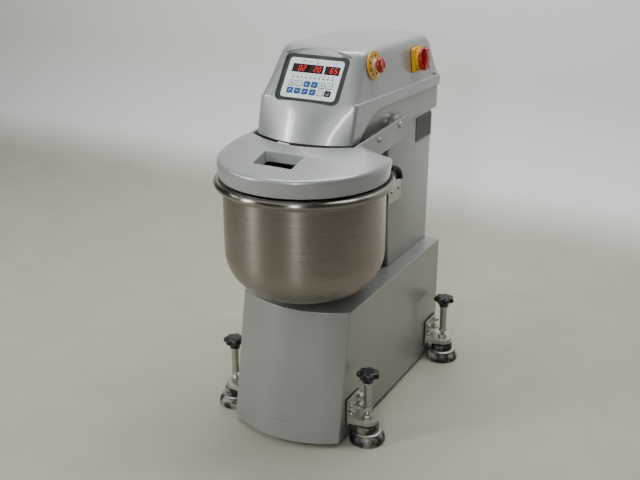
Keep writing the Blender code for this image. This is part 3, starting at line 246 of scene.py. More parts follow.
creamPlastic = mouldedSkin("polyamide_cream", {
    "colour": "#cfc6a4", "roughness": 0.35, "grain": 0.8, "bump": 0.05, "dust": 0.2,
    "dustColour": "#a8a082"})
ventPlastic = mouldedSkin("abs_grey_grille", {
    "colour": "#6d6e6b", "roughness": 0.5, "grain": 0.8, "bump": 0.1, "dust": 0.3, "dustColour": "#74746f"})
castPaint = mouldedSkin("cast_iron_primed", {
    "colour": "#4a4c4c", "roughness": 0.6, "grain": 1.4, "bump": 0.5, "dust": 0.3, "dustColour": "#6e6e69"})
boardGreen = mouldedSkin("glass_epoxy_board", {
    "colour": "#1c5a33", "roughness": 0.4, "grain": 1.0, "bump": 0.1, "dust": 0.1, "dustColour": "#3f7a55"})
# Polyester film printed on its back: even, satin, slightly cool white.
filmWhite = mouldedSkin("polyester_film_white", {
    "colour": "#dfe6ea", "roughness": 0.38, "grain": 1.2, "bump": 0.03, "dust": 0.15,
    "dustColour": "#cfd6da"})
filmBlue = mouldedSkin("polyester_film_blue", {
    "colour": "#164a8a", "roughness": 0.36, "grain": 1.2, "bump": 0.03, "dust": 0.2,
    "dustColour": "#2c6fb6"})
filmBlack = mouldedSkin("polyester_film_black", {
    "colour": "#17191b", "roughness": 0.36, "grain": 1.2, "bump": 0.03, "dust": 0.1,
    "dustColour": "#33373a"})
filmPale = mouldedSkin("polyester_film_pale_print", {
    "colour": "#cfe0ef", "roughness": 0.36, "grain": 1.2, "bump": 0.03, "dust": 0.1,
    "dustColour": "#e6eef5"})
windowSmoked = mouldedSkin("acrylic_smoked_red", {
    "colour": "#120a0a", "roughness": 0.14, "grain": 2.0, "bump": 0.01, "dust": 0.1,
    "dustColour": "#231615"})
segmentOff = mouldedSkin("led_segment_dark", {
    "colour": "#3d332f", "roughness": 0.4, "grain": 1.0, "bump": 0.02, "dust": 0.1,
    "dustColour": "#463b36"})
segmentOn = mouldedSkin("led_segment_lit", {
    "colour": "#d8202a", "roughness": 0.4, "grain": 1.0, "bump": 0.02, "dust": 0.1,
    "dustColour": "#ff5a4a"})
glow = segmentOn.node_tree.nodes["Principled BSDF"]
glow.inputs["Emission Color"].default_value = hexColour("#e81c2c")
glow.inputs["Emission Strength"].default_value = 1.1
print("materials made")


# mesh helpers, all in millimetres measured from the bowl's axis

def place(x, y, z):
    return Vector((x * mm, y * mm + axisY, z * mm))


def roundEdges(piece, width, angle=40, segments=3, harden=True):
    edge = piece.modifiers.new("softEdges", "BEVEL")
    edge.width, edge.segments = width * mm, segments
    edge.limit_method, edge.angle_limit = "ANGLE", math.radians(angle)
    edge.harden_normals = harden


def makePiece(name, bm, material, body, bevel=0.0, smoothAngle=35, matrix=None):
    bmesh.ops.remove_doubles(bm, verts=bm.verts, dist=0.00001)
    if matrix is not None:
        bmesh.ops.transform(bm, matrix=matrix, verts=bm.verts)
    bmesh.ops.recalc_face_normals(bm, faces=bm.faces)
    mesh = bpy.data.meshes.new(name)
    bm.to_mesh(mesh)
    bm.free()
    mesh.shade_smooth()
    mesh.set_sharp_from_angle(angle=math.radians(smoothAngle))
    for one in (material if isinstance(material, (list, tuple)) else [material]):
        mesh.materials.append(one)
    piece = bpy.data.objects.new(name, mesh)
    bpy.context.collection.objects.link(piece)
    if bevel:
        roundEdges(piece, bevel, 32)
    if body:
        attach(piece, body)
    return piece


def bridge(bm, rings, closed=False, capStart=True, capEnd=True):
    made = [[bm.verts.new(p) for p in ring] for ring in rings]
    pairs = list(zip(made, made[1:])) + ([(made[-1], made[0])] if closed else [])
    for a, b in pairs:
        for i in range(len(a)):
            j = (i + 1) % len(a)
            bm.faces.new((a[i], a[j], b[j], b[i]))
    if not closed and capStart:
        bm.faces.new(list(reversed(made[0])))
    if not closed and capEnd:
        bm.faces.new(made[-1])


def lathe(bm, profile, segments=48, closed=False):
    # profile of (radius, height) in mm about local z, from axis to axis unless closed
    rings = []
    for radius, height in profile:
        count = 1 if radius < 1e-6 else segments
        rings.append([bm.verts.new((radius * mm * math.cos(2 * math.pi * k / segments),
                                    radius * mm * math.sin(2 * math.pi * k / segments), height * mm))
                      for k in range(count)])
    pairs = list(zip(rings, rings[1:])) + ([(rings[-1], rings[0])] if closed else [])
    for a, b in pairs:
        for i in range(segments):
            j = (i + 1) % segments
            corners = list(dict.fromkeys((a[i % len(a)], a[j % len(a)], b[j % len(b)], b[i % len(b)])))
            if len(corners) > 2:
                bm.faces.new(corners)
    if not closed:
        for ring, order in ((rings[0], -1), (rings[-1], 1)):
            if len(ring) > 1:
                bm.faces.new(ring[::order])


def turned(name, profile, material, body, matrix, segments=48, closed=False, bevel=0.0, smoothAngle=30):
    bm = bmesh.new()
    lathe(bm, profile, segments, closed)
    return makePiece(name, bm, material, body, bevel, smoothAngle, matrix)


def slab(name, outline, low, high, material, body, matrix=None, bevel=0.0, smoothAngle=35):
    # outline of (x, y) in mm, from height low to high, in the frame that matrix gives
    bm = bmesh.new()
    bridge(bm, [[(x * mm, y * mm, z * mm) for x, y in outline] for z in (low, high)])
    return makePiece(name, bm, material, body, bevel, smoothAngle, matrix)


def cut(piece, cutter, operation="DIFFERENCE"):
    step = piece.modifiers.new("cut", "BOOLEAN")
    step.operation = operation
    step.solver = "EXACT"
    step.object = cutter
    graph = bpy.context.evaluated_depsgraph_get()
    mesh = bpy.data.meshes.new_from_object(piece.evaluated_get(graph))
    piece.modifiers.remove(step)
    piece.data = mesh
    mesh.shade_smooth()
    mesh.set_sharp_from_angle(angle=math.radians(30))
    bpy.data.objects.remove(cutter, do_unlink=True)


def roundedBox(width, height, radius, steps=8):
    points = []
    for turn, (sx, sy) in enumerate(((1, 1), (-1, 1), (-1, -1), (1, -1))):
        for k in range(steps + 1):
            a = math.pi / 2 * (turn + k / steps)
            points.append((sx * (width / 2 - radius) + radius * math.cos(a),
                           sy * (height / 2 - radius) + radius * math.sin(a)))
    return points


def curve(start, control, end, steps):
    return [tuple((1 - t) ** 2 * a + 2 * t * (1 - t) * b + t * t * c for a, b, c in zip(start, control, end))
            for t in (k / steps for k in range(steps + 1))]


def spot(radius, count=48, x=0.0, y=0.0):
    return [(x + radius * math.cos(2 * math.pi * k / count), y + radius * math.sin(2 * math.pi * k / count))
            for k in range(count)]


def bowedPlan(half, front, bow, rear, frontRadius, rearRadius, fine=3):
    # half plan of a housing with a bowed front, mirrored to a full ring
    inner = half - frontRadius
    steps = 8 * fine
    right = [(inner * k / steps, front - bow * (1 - (inner * k / steps / half) ** 2)) for k in range(steps + 1)]
    right += curve(right[-1], (half, front), (half, front + max(frontRadius, 1)), 4 * fine)[1:]
    length = rear - rearRadius - right[-1][1]
    right += [(half, right[-1][1] + length * k / (3 * fine)) for k in range(1, 3 * fine)]
    right += curve((half, rear - rearRadius), (half, rear), (half - rearRadius, rear), 3 * fine)
    return right + [(-x, y) for x, y in reversed(right[1:])]


headSlope = -0.033      # the head falls towards the back


def headZ(level, y):
    return level + headSlope * y


# cabinet

cabinet = {"half": 144, "foot": 12, "top": 330, "frontFoot": -100.6, "frontTop": -43.5, "bow": 46, "rear": 498,
           "wall": 3}


def cabinetRing(level, inset):
    share = (level - cabinet["foot"]) / (cabinet["top"] - cabinet["foot"])
    front = cabinet["frontFoot"] + (cabinet["frontTop"] - cabinet["frontFoot"]) * share
    outline = bowedPlan(cabinet["half"] - inset, front + 1.3 * inset, cabinet["bow"], cabinet["rear"] - inset,
                        3, 5)
    return [place(x, y, level) for x, y in outline]


bm = bmesh.new()
bridge(bm, [cabinetRing(cabinet["foot"], 0), cabinetRing(120, 0), cabinetRing(230, 0),
            cabinetRing(cabinet["top"], 0)],
       capStart=False)
bridge(bm, [cabinetRing(cabinet["top"] - cabinet["wall"], cabinet["wall"]),
            cabinetRing(cabinet["foot"], cabinet["wall"])],
       capEnd=False)
outerRim = cabinetRing(cabinet["foot"], 0)
innerRim = cabinetRing(cabinet["foot"], cabinet["wall"])
bridge(bm, [outerRim, innerRim], capStart=False, capEnd=False)
baseShell = makePiece("base_shell", bm, sheetPaint, "machine")
cut(baseShell, slab("hole", spot(50), 300, 340, sheetPaint, None, Matrix.Translation((0, axisY, 0))))
roundEdges(baseShell, 1.8)
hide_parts("base_housing")
print("cabinet made")

# column

column = {"half": 103.5, "low": 330.3, "frontFoot": 245, "frontTop": 226, "rearFoot": 495, "rearTop": 503,
          "under": 708.5, "fold": 4, "wall": 3}


def columnRing(top, inset):
    half, fold = column["half"] - inset, column["fold"]
    front = (column["frontTop"] if top else column["frontFoot"]) + inset
    rear = (column["rearTop"] if top else column["rearFoot"]) - inset
    plan = roundedBox(2 * half, rear - front, max(fold - inset, 1), 5)
    ring = []
    for x, y in plan:
        y = y + (front + rear) / 2
        ring.append(place(x, y, headZ(column["under"], y) - 0.3 if top else column["low"]))
    return ring


bm = bmesh.new()
bridge(bm, [columnRing(0, 0), columnRing(1, 0), columnRing(1, column["wall"]), columnRing(0, column["wall"])],
       closed=True)
columnShell = makePiece("column_shell", bm, sheetPaint, "machine", smoothAngle=40)
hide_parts("column_housing")

# service panel on the column's back and the cabinet's back, each on six screws
panels = {"column": {"size": (176, 300), "centre": 505, "y": 499.5, "lean": 0.0213},
          "cabinet": {"size": (250, 250), "centre": 172, "y": 498.6, "lean": 0.0}}
for name, look in panels.items():
    back = Matrix.Translation(place(0, look["y"], look["centre"])) @ Matrix.Rotation(-look["lean"], 4, "X") \
        @ Matrix.Rotation(-math.pi / 2, 4, "X")
    width, height = look["size"]
    slab(f"service_panel_{name}", roundedBox(width, height, 6), -0.6, 1.6, sheetPaint, "machine", back,
         bevel=0.5)
    for sx in (-1, 1):
        for sy in (-1, 0, 1):
            seat = back @ Matrix.Translation((sx * (width / 2 - 9) * mm, sy * (height / 2 - 10) * mm, 1.6 * mm))
            turned(f"service_screw_{name}", [(0, 0), (4.4, 0), (4.2, 1.2), (3, 2.2), (1.6, 2.5), (1.5, 1.4),
                                             (0, 1.4)],
                   zincPlate, "machine", seat, 24)
slots = Matrix.Translation(place(0, 501.2, 610)) @ Matrix.Rotation(-math.pi / 2, 4, "X")
for k in range(7):
    bm = bmesh.new()
    low = (k - 3) * 11
    bridge(bm, [[(x * mm, (low + y) * mm, z * mm) for y, z in ((-3.6, 0), (3.6, 0), (3.6, 3.4), (1.5, 3.8))]
                for x in (-58, 58)])
    makePiece(f"rear_louvre_{k + 1}", bm, sheetPaint, "machine", bevel=0.6, matrix=slots)
print("column made")

# steel casing of the head

casing = {"half": 116, "front": 12, "rear": 511, "under": 708.8, "height": 75, "wall": 3}


def casingRing(level, inset):
    half, front, rear = casing["half"] - inset, casing["front"] + inset, casing["rear"] - inset
    plan = [(half, front + 28), (half, rear - 6), (half - 6, rear), (-half + 6, rear), (-half, rear - 6),
            (-half, front + 28), (-half + 20, front), (half - 20, front)]
    return [place(x, y, headZ(casing["under"] + level, y)) for x, y in plan]


bm = bmesh.new()
top, wall = casing["height"], casing["wall"]
bridge(bm, [casingRing(0, 6), casingRing(1.8, 2.2), casingRing(6, 0), casingRing(top, 0), casingRing(top, wall),
            casingRing(9, wall), casingRing(3, 9)])
casingShell = makePiece("casing_shell", bm, sheetPaint, "machine", smoothAngle=25)
for hole, radius in ((100, 32), (360, 26)):
    cut(casingShell, slab("hole", spot(radius), 640, 728, sheetPaint, None,
                          Matrix.Translation(place(0, hole, 0))))
roundEdges(casingShell, 1.2, 30)
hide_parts("head_casing")

# slotted air grille on the right of the column
grilleLow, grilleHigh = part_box("vent_grille")
grille = {"ribs": 17, "border": 4}
grilleY, grilleZ = (grilleLow[1] + grilleHigh[1]) / 2, (grilleLow[2] + grilleHigh[2]) / 2
grilleWide, grilleTall = (grilleHigh[1] - grilleLow[1]) / mm, (grilleHigh[2] - grilleLow[2]) / mm
facing = Matrix.Translation((grilleLow[0], grilleY, grilleZ)) @ Matrix.Rotation(math.pi / 2, 4, "Z") \
    @ Matrix.Rotation(math.pi / 2, 4, "X")
bm = bmesh.new()
border = grille["border"]
outer = roundedBox(grilleWide, grilleTall, 3)
inner = roundedBox(grilleWide - 2 * border, grilleTall - 2 * border, 2)
bridge(bm, [[(x * mm, y * mm, z * mm) for x, y in loop]
            for loop, z in ((outer, 0), (outer, 2), (inner, 2), (inner, 0))], closed=True)
pitch = (grilleWide - 2 * border) / grille["ribs"]
for k in range(grille["ribs"]):
    x = -grilleWide / 2 + border + pitch * (k + 0.5)
    bridge(bm, [[((x + u) * mm, y * mm, z * mm) for u, z in ((-1.6, 0.3), (1.4, 0.3), (1.9, 1.8), (0.9, 1.9))]
                for y in (-grilleTall / 2 + 3, grilleTall / 2 - 3)])
ventGrille = makePiece("vent_grille_ribs", bm, ventPlastic, "machine", matrix=facing)
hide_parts("vent_grille")
print("casing made")

# moulded cover

cover = {"edge": 712.5, "wall": 4,
         # level, half width, front, bow, rear, front radius, rear radius
         "stations": ((0, 122, -3, 42, 516, 6, 20), (32.5, 122.7, 4, 35, 516, 6, 20),
                      (66.5, 123.4, 12, 27, 516, 7, 20),
                      (81, 123.9, 15.7, 23, 516, 8.5, 20), (84.5, 123.6, 16.6, 22, 515.4, 9, 20),
                      (87, 122, 17.2, 21.3, 512, 9.5, 19),
                      (88.4, 120.6, 17.6, 21, 506, 10, 18), (105.5, 118.8, 27, 17, 492, 20, 18),
                      (122.5, 117, 37, 14, 483, 28, 18),
                      (140.5, 115.2, 47.5, 12, 475, 33, 18), (157.5, 113.5, 58, 10, 468, 36, 20),
                      (173.5, 111.5, 68, 9, 462, 38, 24), (186, 108.5, 77, 8, 456, 38, 28),
                      (194.5, 102, 88, 7, 446, 34, 30),
                      (198.8, 90, 103, 6, 432, 26, 30), (200.1, 70, 125, 5, 408, 20, 30))}
panel = {"centre": (0, 37.5, 841.6), "up": (0, 0.5805, 0.8142), "out": (0, -0.8142, 0.5805),
         "pocket": (164, 119, 17),
         "brow": 15, "browHalf": 84}


def coverAt(level):
    # smooth between the upper stations, straight below the ledge
    table = cover["stations"]
    for i in range(len(table) - 1):
        if table[i][0] <= level <= table[i + 1][0] + 1e-9:
            break
    a, b = table[i], table[i + 1]
    t = (level - a[0]) / (b[0] - a[0])
    if i < 6:
        return [p + (q - p) * t for p, q in zip(a, b)]
    before = table[i - 1] if i > 6 else a
    after = table[i + 2] if i + 2 < len(table) else b
    values = []
    for o, p, q, r in zip(before, a, b, after):
        span = b[0] - a[0]
        m0 = (q - o) / (b[0] - before[0]) * span
        m1 = (r - p) / (after[0] - a[0]) * span
        values.append((2 * t ** 3 - 3 * t ** 2 + 1) * p + (t ** 3 - 2 * t ** 2 + t) * m0
                      + (3 * t ** 2 - 2 * t ** 3) * q + (t ** 3 - t ** 2) * m1)
    return values


def coverRing(level, inset=0.0, lift=0.0):
    _, half, front, bow, rear, frontRadius, rearRadius = coverAt(level)
    outline = bowedPlan(half - inset, front + 1.25 * inset, bow, rear - inset, max(frontRadius - inset, 2),
                        max(rearRadius - inset, 2))
    return [place(x, y, headZ(cover["edge"] + level + lift, y)) for x, y in outline]


def panelFrame(x=0.0, y=0.0, z=0.0):
    up, out = Vector(panel["up"]), Vector(panel["out"])
    turn = Matrix(((1, 0, 0, 0), (0, up.y, out.y, 0), (0, up.z, out.z, 0), (0, 0, 0, 1)))
    return Matrix.Translation(place(*panel["centre"])) @ turn @ Matrix.Translation((x * mm, y * mm, z * mm))


def skinHeight(x, y):
    # how far the cover's skin stands over the panel's plane, in mm
    back = panelFrame().inverted()
    track = []
    for k in range(76):
        ring = coverRing(88.4 + 1.47 * k)
        hits = []
        for a, b in zip(ring, ring[1:] + ring[:1]):
            if (a.x - x * mm) * (b.x - x * mm) < 0:
                hits.append(a.lerp(b, (x * mm - a.x) / (b.x - a.x)))
        if hits:
            near = back @ min(hits, key=lambda p: p.y)
            track.append((near.y / mm, near.z / mm))
    for (y0, z0), (y1, z1) in zip(track, track[1:]):
        if y0 <= y <= y1:
            return z0 + (z1 - z0) * (y - y0) / (y1 - y0)
    return track[-1][1]


levels = [0, 16, 32.5, 50, 66.5, 76, 81, 83, 84.5, 86, 87, 87.8, 88.4]
levels += [90 + 4.2 * k for k in range(24)] + [189, 191.5, 194, 196, 197.5, 198.8, 199.5, 200.1]
bm = bmesh.new()
bridge(bm, [coverRing(level) for level in levels])
coverShell = makePiece("cover_shell", bm, mouldedPaint, None)
bm = bmesh.new()
wall = cover["wall"]
bridge(bm, [coverRing(0, wall, -20)]
       + [coverRing(level, wall, -wall if level > 150 else 0) for level in levels[::2] if level < 195])
hollow = makePiece("hollow", bm, mouldedPaint, None)
pocketWide, pocketTall, pocketRadius = panel["pocket"]
cut(hollow, slab("pocket_wall", roundedBox(pocketWide + 8, pocketTall + 8, pocketRadius + 4), -9, 70,
                 mouldedPaint, None,
                 panelFrame()))
cut(hollow, slab("brow_wall", [(-92, 40), (92, 40), (92, 86), (-92, 86)], -8, 70, mouldedPaint, None,
                 panelFrame()))
cut(coverShell, hollow)
cut(coverShell, slab("pocket", roundedBox(pocketWide, pocketTall, pocketRadius), -4, 80, mouldedPaint, None,
                     panelFrame()))
# the crown overhangs the panel as a shallow arched brow
bm = bmesh.new()
rings = []
for k in range(-20, 21):
    x = panel["browHalf"] * k / 20
    top = pocketTall / 2 + panel["brow"] * (1 - (k / 20) ** 2) + 0.4
    skin = skinHeight(x + 0.01, top)
    rings.append([(x * mm, y * mm, z * mm)
                  for y, z in ((57, -3.9), (59.6, -3.9), (top, skin - 0.6), (top + 1.0, skin + 1),
                               (top + 4, 80), (57, 80))])
bridge(bm, rings)
cut(coverShell, makePiece("brow", bm, mouldedPaint, None, matrix=panelFrame()))
arch = [(32, -40)] + curve((32, -0.6), (88, 59.5), (150, 61.6), 24) + [(560, 61.6), (560, -40)]
bm = bmesh.new()
bridge(bm, [[place(x, y, headZ(cover["edge"] + z, y)) for y, z in arch] for x in (-170, 170)])
cut(coverShell, makePiece("arch", bm, mouldedPaint, None))


def softenMouth(piece, width, frame, inside, sharp, weld, smoothAngle):
    # round over the edges of a mouth: those that turn by more than sharp degrees and lie inside, in the given frame
    bm = bmesh.new()
    bm.from_mesh(piece.data)
    bmesh.ops.remove_doubles(bm, verts=bm.verts, dist=weld * mm)
    bm.normal_update()
    local = frame.inverted()
    rim = []
    for line in bm.edges:
        if len(line.link_faces) != 2 or line.calc_face_angle(0) < math.radians(sharp):
            continue
        if all(inside(local @ v.co / mm) for v in line.verts):
            rim.append(line)
    bmesh.ops.bevel(bm, geom=rim, offset=width * mm, segments=4, profile=0.5, affect="EDGES", clamp_overlap=True)
    bm.to_mesh(piece.data)
    bm.free()
    piece.data.shade_smooth()
    piece.data.set_sharp_from_angle(angle=math.radians(smoothAngle))
    return len(rim)


print("pocket rim edges", softenMouth(coverShell, 2.6, panelFrame(), lambda p: abs(p.x) < 86 and -60.5 < p.y < 78
                                      and p.z > -1.5, 30, 0.15, 35))
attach(coverShell, "machine")
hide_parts("head_cover")
print("cover made")


def sideFrame(y, level, spin=0.0):
    # frame on the cover's right wall, local z square to the wall and local y up
    low, high = coverAt(level - 15 - cover["edge"])[1], coverAt(level + 15 - cover["edge"])[1]
    lean = math.atan2(low - high, 30)
    return Matrix.Translation(place(coverAt(level - cover["edge"])[1], y, headZ(level, y))) \
        @ Matrix.Rotation(math.pi / 2 - lean, 4, "Y") @ Matrix.Rotation(math.pi / 2 + spin, 4, "Z")


coverScrew = (470, 806)      # how far back, and how high
domeScrew = [(0, 0), (6.4, 0), (6.3, 0.9), (5.2, 2.6), (3.2, 3.7), (1.9, 4.0), (1.8, 2.2), (0, 2.2)]
for side in (1, -1):
    seat = sideFrame(*coverScrew)
    if side < 0:
        seat = Matrix.Translation(Vector((-2 * seat.translation.x, 0, 0))) @ seat @ Matrix.Rotation(math.pi, 4, "Y")
    turned("cover_screw", [(r * 0.75, z * 0.75) for r, z in domeScrew], zincPlate, "machine", seat, 24)

# emergency stop and main switch

estop = {"y": 115, "level": 873.8, "stand": 1.2}
switch = {"y": 357, "level": 856.5, "stand": 1.2, "plate": 60, "neck": 26.5, "knob": 28.5}
seat = sideFrame(estop["y"], estop["level"]) @ Matrix.Translation((0, 0, estop["stand"] * mm))
stopPlate = turned("estop_ring", [(11.5, 0), (32.6, 0), (33, 0.5), (32.8, 2.2), (32, 2.9), (29.5, 2.9), (28.6, 2.2),
                                  (16, 1.9),
                                  (15.4, 2.4), (11.5, 2.4)], yellowPlastic, "machine", seat, 72, closed=True)
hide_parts("estop_plate")
for k in range(8):
    a = 2 * math.pi * (k + 0.5) / 8
    arrow = [(22 * math.cos(a + d) * s, 22 * math.sin(a + d) * s)
             for d, s in ((-0.17, 0.9), (0.1, 0.86), (0.2, 1.0), (0.1, 1.14), (-0.17, 1.1))]
    slab("estop_ring_mark", arrow, 1.9, 2.25, filmBlack, "machine", seat)
collar = turned("estop_collar_turned", [(6.5, -20), (10.7, -20), (10.8, 2.6), (13.1, 2.6), (13.5, 3.1), (13.5, 5),
                                        (12.9, 6.8),
                                        (12.2, 8.3), (11.4, 8.9), (10.8, 9), (6.5, 9)], creamPlastic, "machine",
                                        seat, 56,
                closed=True)
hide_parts("estop_collar")
head = turned("estop_mushroom", [(0, 14), (15.4, 14), (16.8, 14.4), (17.7, 15.5), (18, 17), (17.8, 19), (17, 21),
                                 (15.4, 22.8), (13, 24.1), (10.6, 24.8), (8.8, 25), (8.2, 24.5), (7.4, 24.1),
                                 (4, 23.9),
                                 (0, 23.8)], redPlastic, "estop_head", seat, 64)
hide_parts("estop_button")
for k in range(3):
    a0 = 2 * math.pi * k / 3
    mark = [((11.6 + w) * math.cos(a0 + s), (11.6 + w) * math.sin(a0 + s))
            for s, w in [(0.1 * i, -0.9) for i in range(9)] + [(0.8, -2.1), (1.05, 0), (0.8, 2.1)]
            + [(0.1 * i, 0.9) for i in range(8, -1, -1)]]
    slab("estop_mushroom_arrow", mark, 22.4, 24.95, creamPlastic, "estop_head", seat)

seat = sideFrame(switch["y"], switch["level"]) @ Matrix.Translation((0, 0, switch["stand"] * mm))
w = switch["plate"]
plate = slab("switch_plate_moulded", roundedBox(w, w, 7), 0, 9, yellowPlastic, None, seat)
cut(plate, slab("neck", spot(switch["neck"], 72), 5, 15.5, yellowPlastic, None, seat), "UNION")
cut(plate, slab("bore", spot(8), -5, 20, yellowPlastic, None, seat))
for a in (35, 62, 118, 145):
    a = math.radians(a)
    hole = seat @ Matrix.Translation((22.5 * mm * math.cos(a), 0, 12 * mm)) @ Matrix.Rotation(-math.pi / 2, 4, "X")
    cut(plate, slab("padlock_hole", spot(1.9, 20), 8, 40, yellowPlastic, None, hole))
roundEdges(plate, 1.6)
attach(plate, "machine")
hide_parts("switch_plate")
for sx in (-1, 1):
    for sy in (-1, 1):
        turned("switch_plate_screw", [(0, 0), (2.7, 0), (2.6, 0.7), (1.4, 1.1), (0, 1.1)], zincPlate, "machine",
               seat @ Matrix.Translation((sx * 24.6 * mm, sy * 24.6 * mm, 9 * mm)), 20)
slab("switch_gasket", roundedBox(w + 1.2, w + 1.2, 7), -0.9, 0, gasketRubber, "machine", seat, bevel=0.3)


def gripWidth(v):
    # half width of the handle along its length: waisted in the middle, broad at its ends
    return 7.2 + 3.5 * abs(v) ** 2.2


r = switch["knob"]
bm = bmesh.new()
lathe(bm, [(0, -18), (5, -18), (5, 15.8), (r - 1.2, 15.8), (r - 0.2, 16.6), (r, 17.6), (r, 21.6), (r - 0.6, 22.9),
           (r - 2, 23.4), (r - 3.6, 23.2), (r - 4.6, 21.6), (0, 21.2)], 72)
knob = makePiece("switch_handle", bm, redPlastic, None, matrix=seat)
steps = 14
sideA = [(gripWidth(2 * k / steps - 1), (r - 2.6) * (2 * k / steps - 1)) for k in range(steps + 1)]
outline = [(min(x, math.sqrt(max(r * r - y * y, 0.0)) + 0.5), y) for x, y in sideA]
outline = outline + [(-x, y) for x, y in reversed(outline)]
bm = bmesh.new()
rings = []
for z, shrink in ((20, 1.0), (27.6, 0.97), (29.8, 0.9), (30.8, 0.78)):
    rings.append([(x * shrink * mm, y * (0.6 + 0.4 * shrink) * mm, z * mm) for x, y in outline])
bridge(bm, rings)
cut(knob, makePiece("handle", bm, redPlastic, None, matrix=seat), "UNION")
roundEdges(knob, 0.9)
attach(knob, "main_switch")
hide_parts("switch_knob")
slab("switch_handle_line", [(-0.7, 8), (0.7, 8), (0.7, 19), (-0.7, 19)], 30.5, 30.8, filmWhite, "main_switch", seat)
print("switches made")

# control panel

film = {"size": (138, 97), "corner": 8, "thick": 1.6}
keys = {"pitch": (19.2, 18), "cap": (15.2, 13.4), "hole": (16.0, 14.2), "rowY": -13.4, "top": 0.6,
        "kinds": "dot minus blueBar blueDash dot minus blueUp blueLine blueDash blueTick dash black".split()}
bezelTop = -film["thick"] - 0.3
bezel = slab("panel_bezel", roundedBox(163, 118, 17), bezelTop - 4, bezelTop, bezelPlastic, "machine", panelFrame(),
             bevel=0.6)
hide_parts("control_bezel")
membrane = slab("panel_film", roundedBox(*film["size"], film["corner"], 10), -film["thick"], 0, filmWhite, None,
                panelFrame())
for number in range(12):
    x = keys["pitch"][0] * (number % 6 - 2.5)
    y = keys["rowY"] - keys["pitch"][1] * (number // 6)
    cut(membrane, slab("hole", roundedBox(*keys["hole"], 2.2, 4), -5, 5, filmWhite, None, panelFrame(x, y)))
windows = {"display_times": (-57.5, 20), "display_level": (25, 61.8)}
for low, high in windows.values():
    cut(membrane, slab("hole", roundedBox(high - low + 0.6, 20.6, 1.5, 4), -5, 5, filmWhite, None,
                       panelFrame((low + high) / 2, 23.8)))
roundEdges(membrane, 0.25, segments=2, harden=False)
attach(membrane, "machine")
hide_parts("keypad_membrane")


def barOutline(x0, y0, x1, y1, thick):
    dx, dy = x1 - x0, y1 - y0
    size = math.hypot(dx, dy)
    nx, ny = -dy / size * thick / 2, dx / size * thick / 2
    return [(x0 + nx, y0 + ny), (x0 - nx, y0 - ny), (x1 - nx, y1 - ny), (x1 + nx, y1 + ny)]


symbols = {"dot": [spot(2.3, 16)], "minus": [barOutline(-3.2, 0, 3.2, 0, 1.6)],
           "dash": [barOutline(-2.4, 0.4, 2.4, 0.4, 1.0)],
           "blueBar": [barOutline(-3.5, -2, 3.5, -2, 1.2), barOutline(-3.5, 1.8, 0.5, 1.8, 1.2)],
           "blueDash": [barOutline(-3.6, -1.5, -0.8, -1.5, 1.2), barOutline(-0.8, -1.5, 3.4, 2.0, 1.2)],
           "blueUp": [barOutline(-3.2, -2.4, 0.2, 2.2, 1.2), barOutline(0.2, 2.2, 3.2, 0.2, 1.2)],
           "blueLine": [barOutline(-3.6, 0, 3.6, 0, 1.2)], "blueTick": [barOutline(-2.6, 0, -0.4, -2.2, 1.2),
                                                                       barOutline(-0.4, -2.2, 3.4, 2.2, 1.2)],
           "black": [barOutline(-3.6, -2.4, 3.6, -2.4, 1.0), barOutline(1.6, -1, 3.6, 1.8, 1.0)]}
for number, kind in enumerate(keys["kinds"]):
    x = keys["pitch"][0] * (number % 6 - 2.5)
    y = keys["rowY"] - keys["pitch"][1] * (number // 6)
    node, body = f"key_{number + 1:02d}", f"key_{number + 1:02d}_cap"
    pale = kind in ("dot", "minus", "dash")
    skin = filmWhite if pale else filmBlack if kind == "black" else filmBlue
    parts = [slab(f"keycap_{number + 1:02d}", roundedBox(*keys["cap"], 2.2, 5), -film["thick"] + 0.4, keys["top"],
                  skin, None,
                  panelFrame(x, y), bevel=0.3)]
    if pale:
        bm = bmesh.new()
        outer, inner = roundedBox(15.1, 13.3, 2.4, 5), roundedBox(13.1, 11.3, 1.6, 5)
        bridge(bm, [[(px * mm, py * mm, z * mm) for px, py in loop] for loop, z in
                    ((outer, 0.55), (outer, 0.68), (inner, 0.68), (inner, 0.55))], closed=True)
        parts.append(makePiece("key_border", bm, filmBlack, None, matrix=panelFrame(x, y)))
    for outline in symbols[kind]:
        parts.append(slab("key_symbol", outline, 0.55, 0.7, filmBlack if pale else filmPale, None,
                          panelFrame(x, y)))
    for part in parts:
        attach(part, body)
    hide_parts(node)

# numeric displays: seven-segment digits behind smoked windows
segments = {"a": (0, 6.2, 0), "b": (3.0, 3.1, 1), "c": (3.0, -3.1, 1), "d": (0, -6.2, 0), "e": (-3.0, -3.1, 1),
            "f": (-3.0, 3.1, 1), "g": (0, 0, 0)}
lit = {"8": "", "0": "abcdef", "2": "abged", "6": "acdefg", "5": "acdfg"}


def digit(character, x, y):
    made = []
    for name, (sx, sy, upright) in segments.items():
        length, half = (5.2, 0.8) if upright else (4.6, 0.8)
        shape = [(-length / 2, 0), (-length / 2 + half, half), (length / 2 - half, half), (length / 2, 0),
                 (length / 2 - half, -half), (-length / 2 + half, -half)]
        if upright:
            shape = [(b, a) for a, b in shape]
        slant = 0.12
        shape = [(px + sx + slant * (py + sy), py + sy) for px, py in shape]
        on = name in lit[character]
        made.append(slab("segment", shape, 0.2, 0.42, segmentOn if on else segmentOff, None, panelFrame(x, y)))
        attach(made[-1], "machine")
    return made


for name, (low, high) in windows.items():
    middle = (low + high) / 2
    glass = slab(f"{name}_window", roundedBox(high - low, 20, 1.5, 4), -film["thick"] + 0.2, 0.2, windowSmoked,
                 "machine",
                 panelFrame(middle, 23.8), bevel=0.2)
    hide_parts(name)
for text, start in (("802", -48.7), ("820", -9.6), ("865", 32.0)):
    for k, character in enumerate(text):
        digit(character, start + 10.5 * k, 23.8)

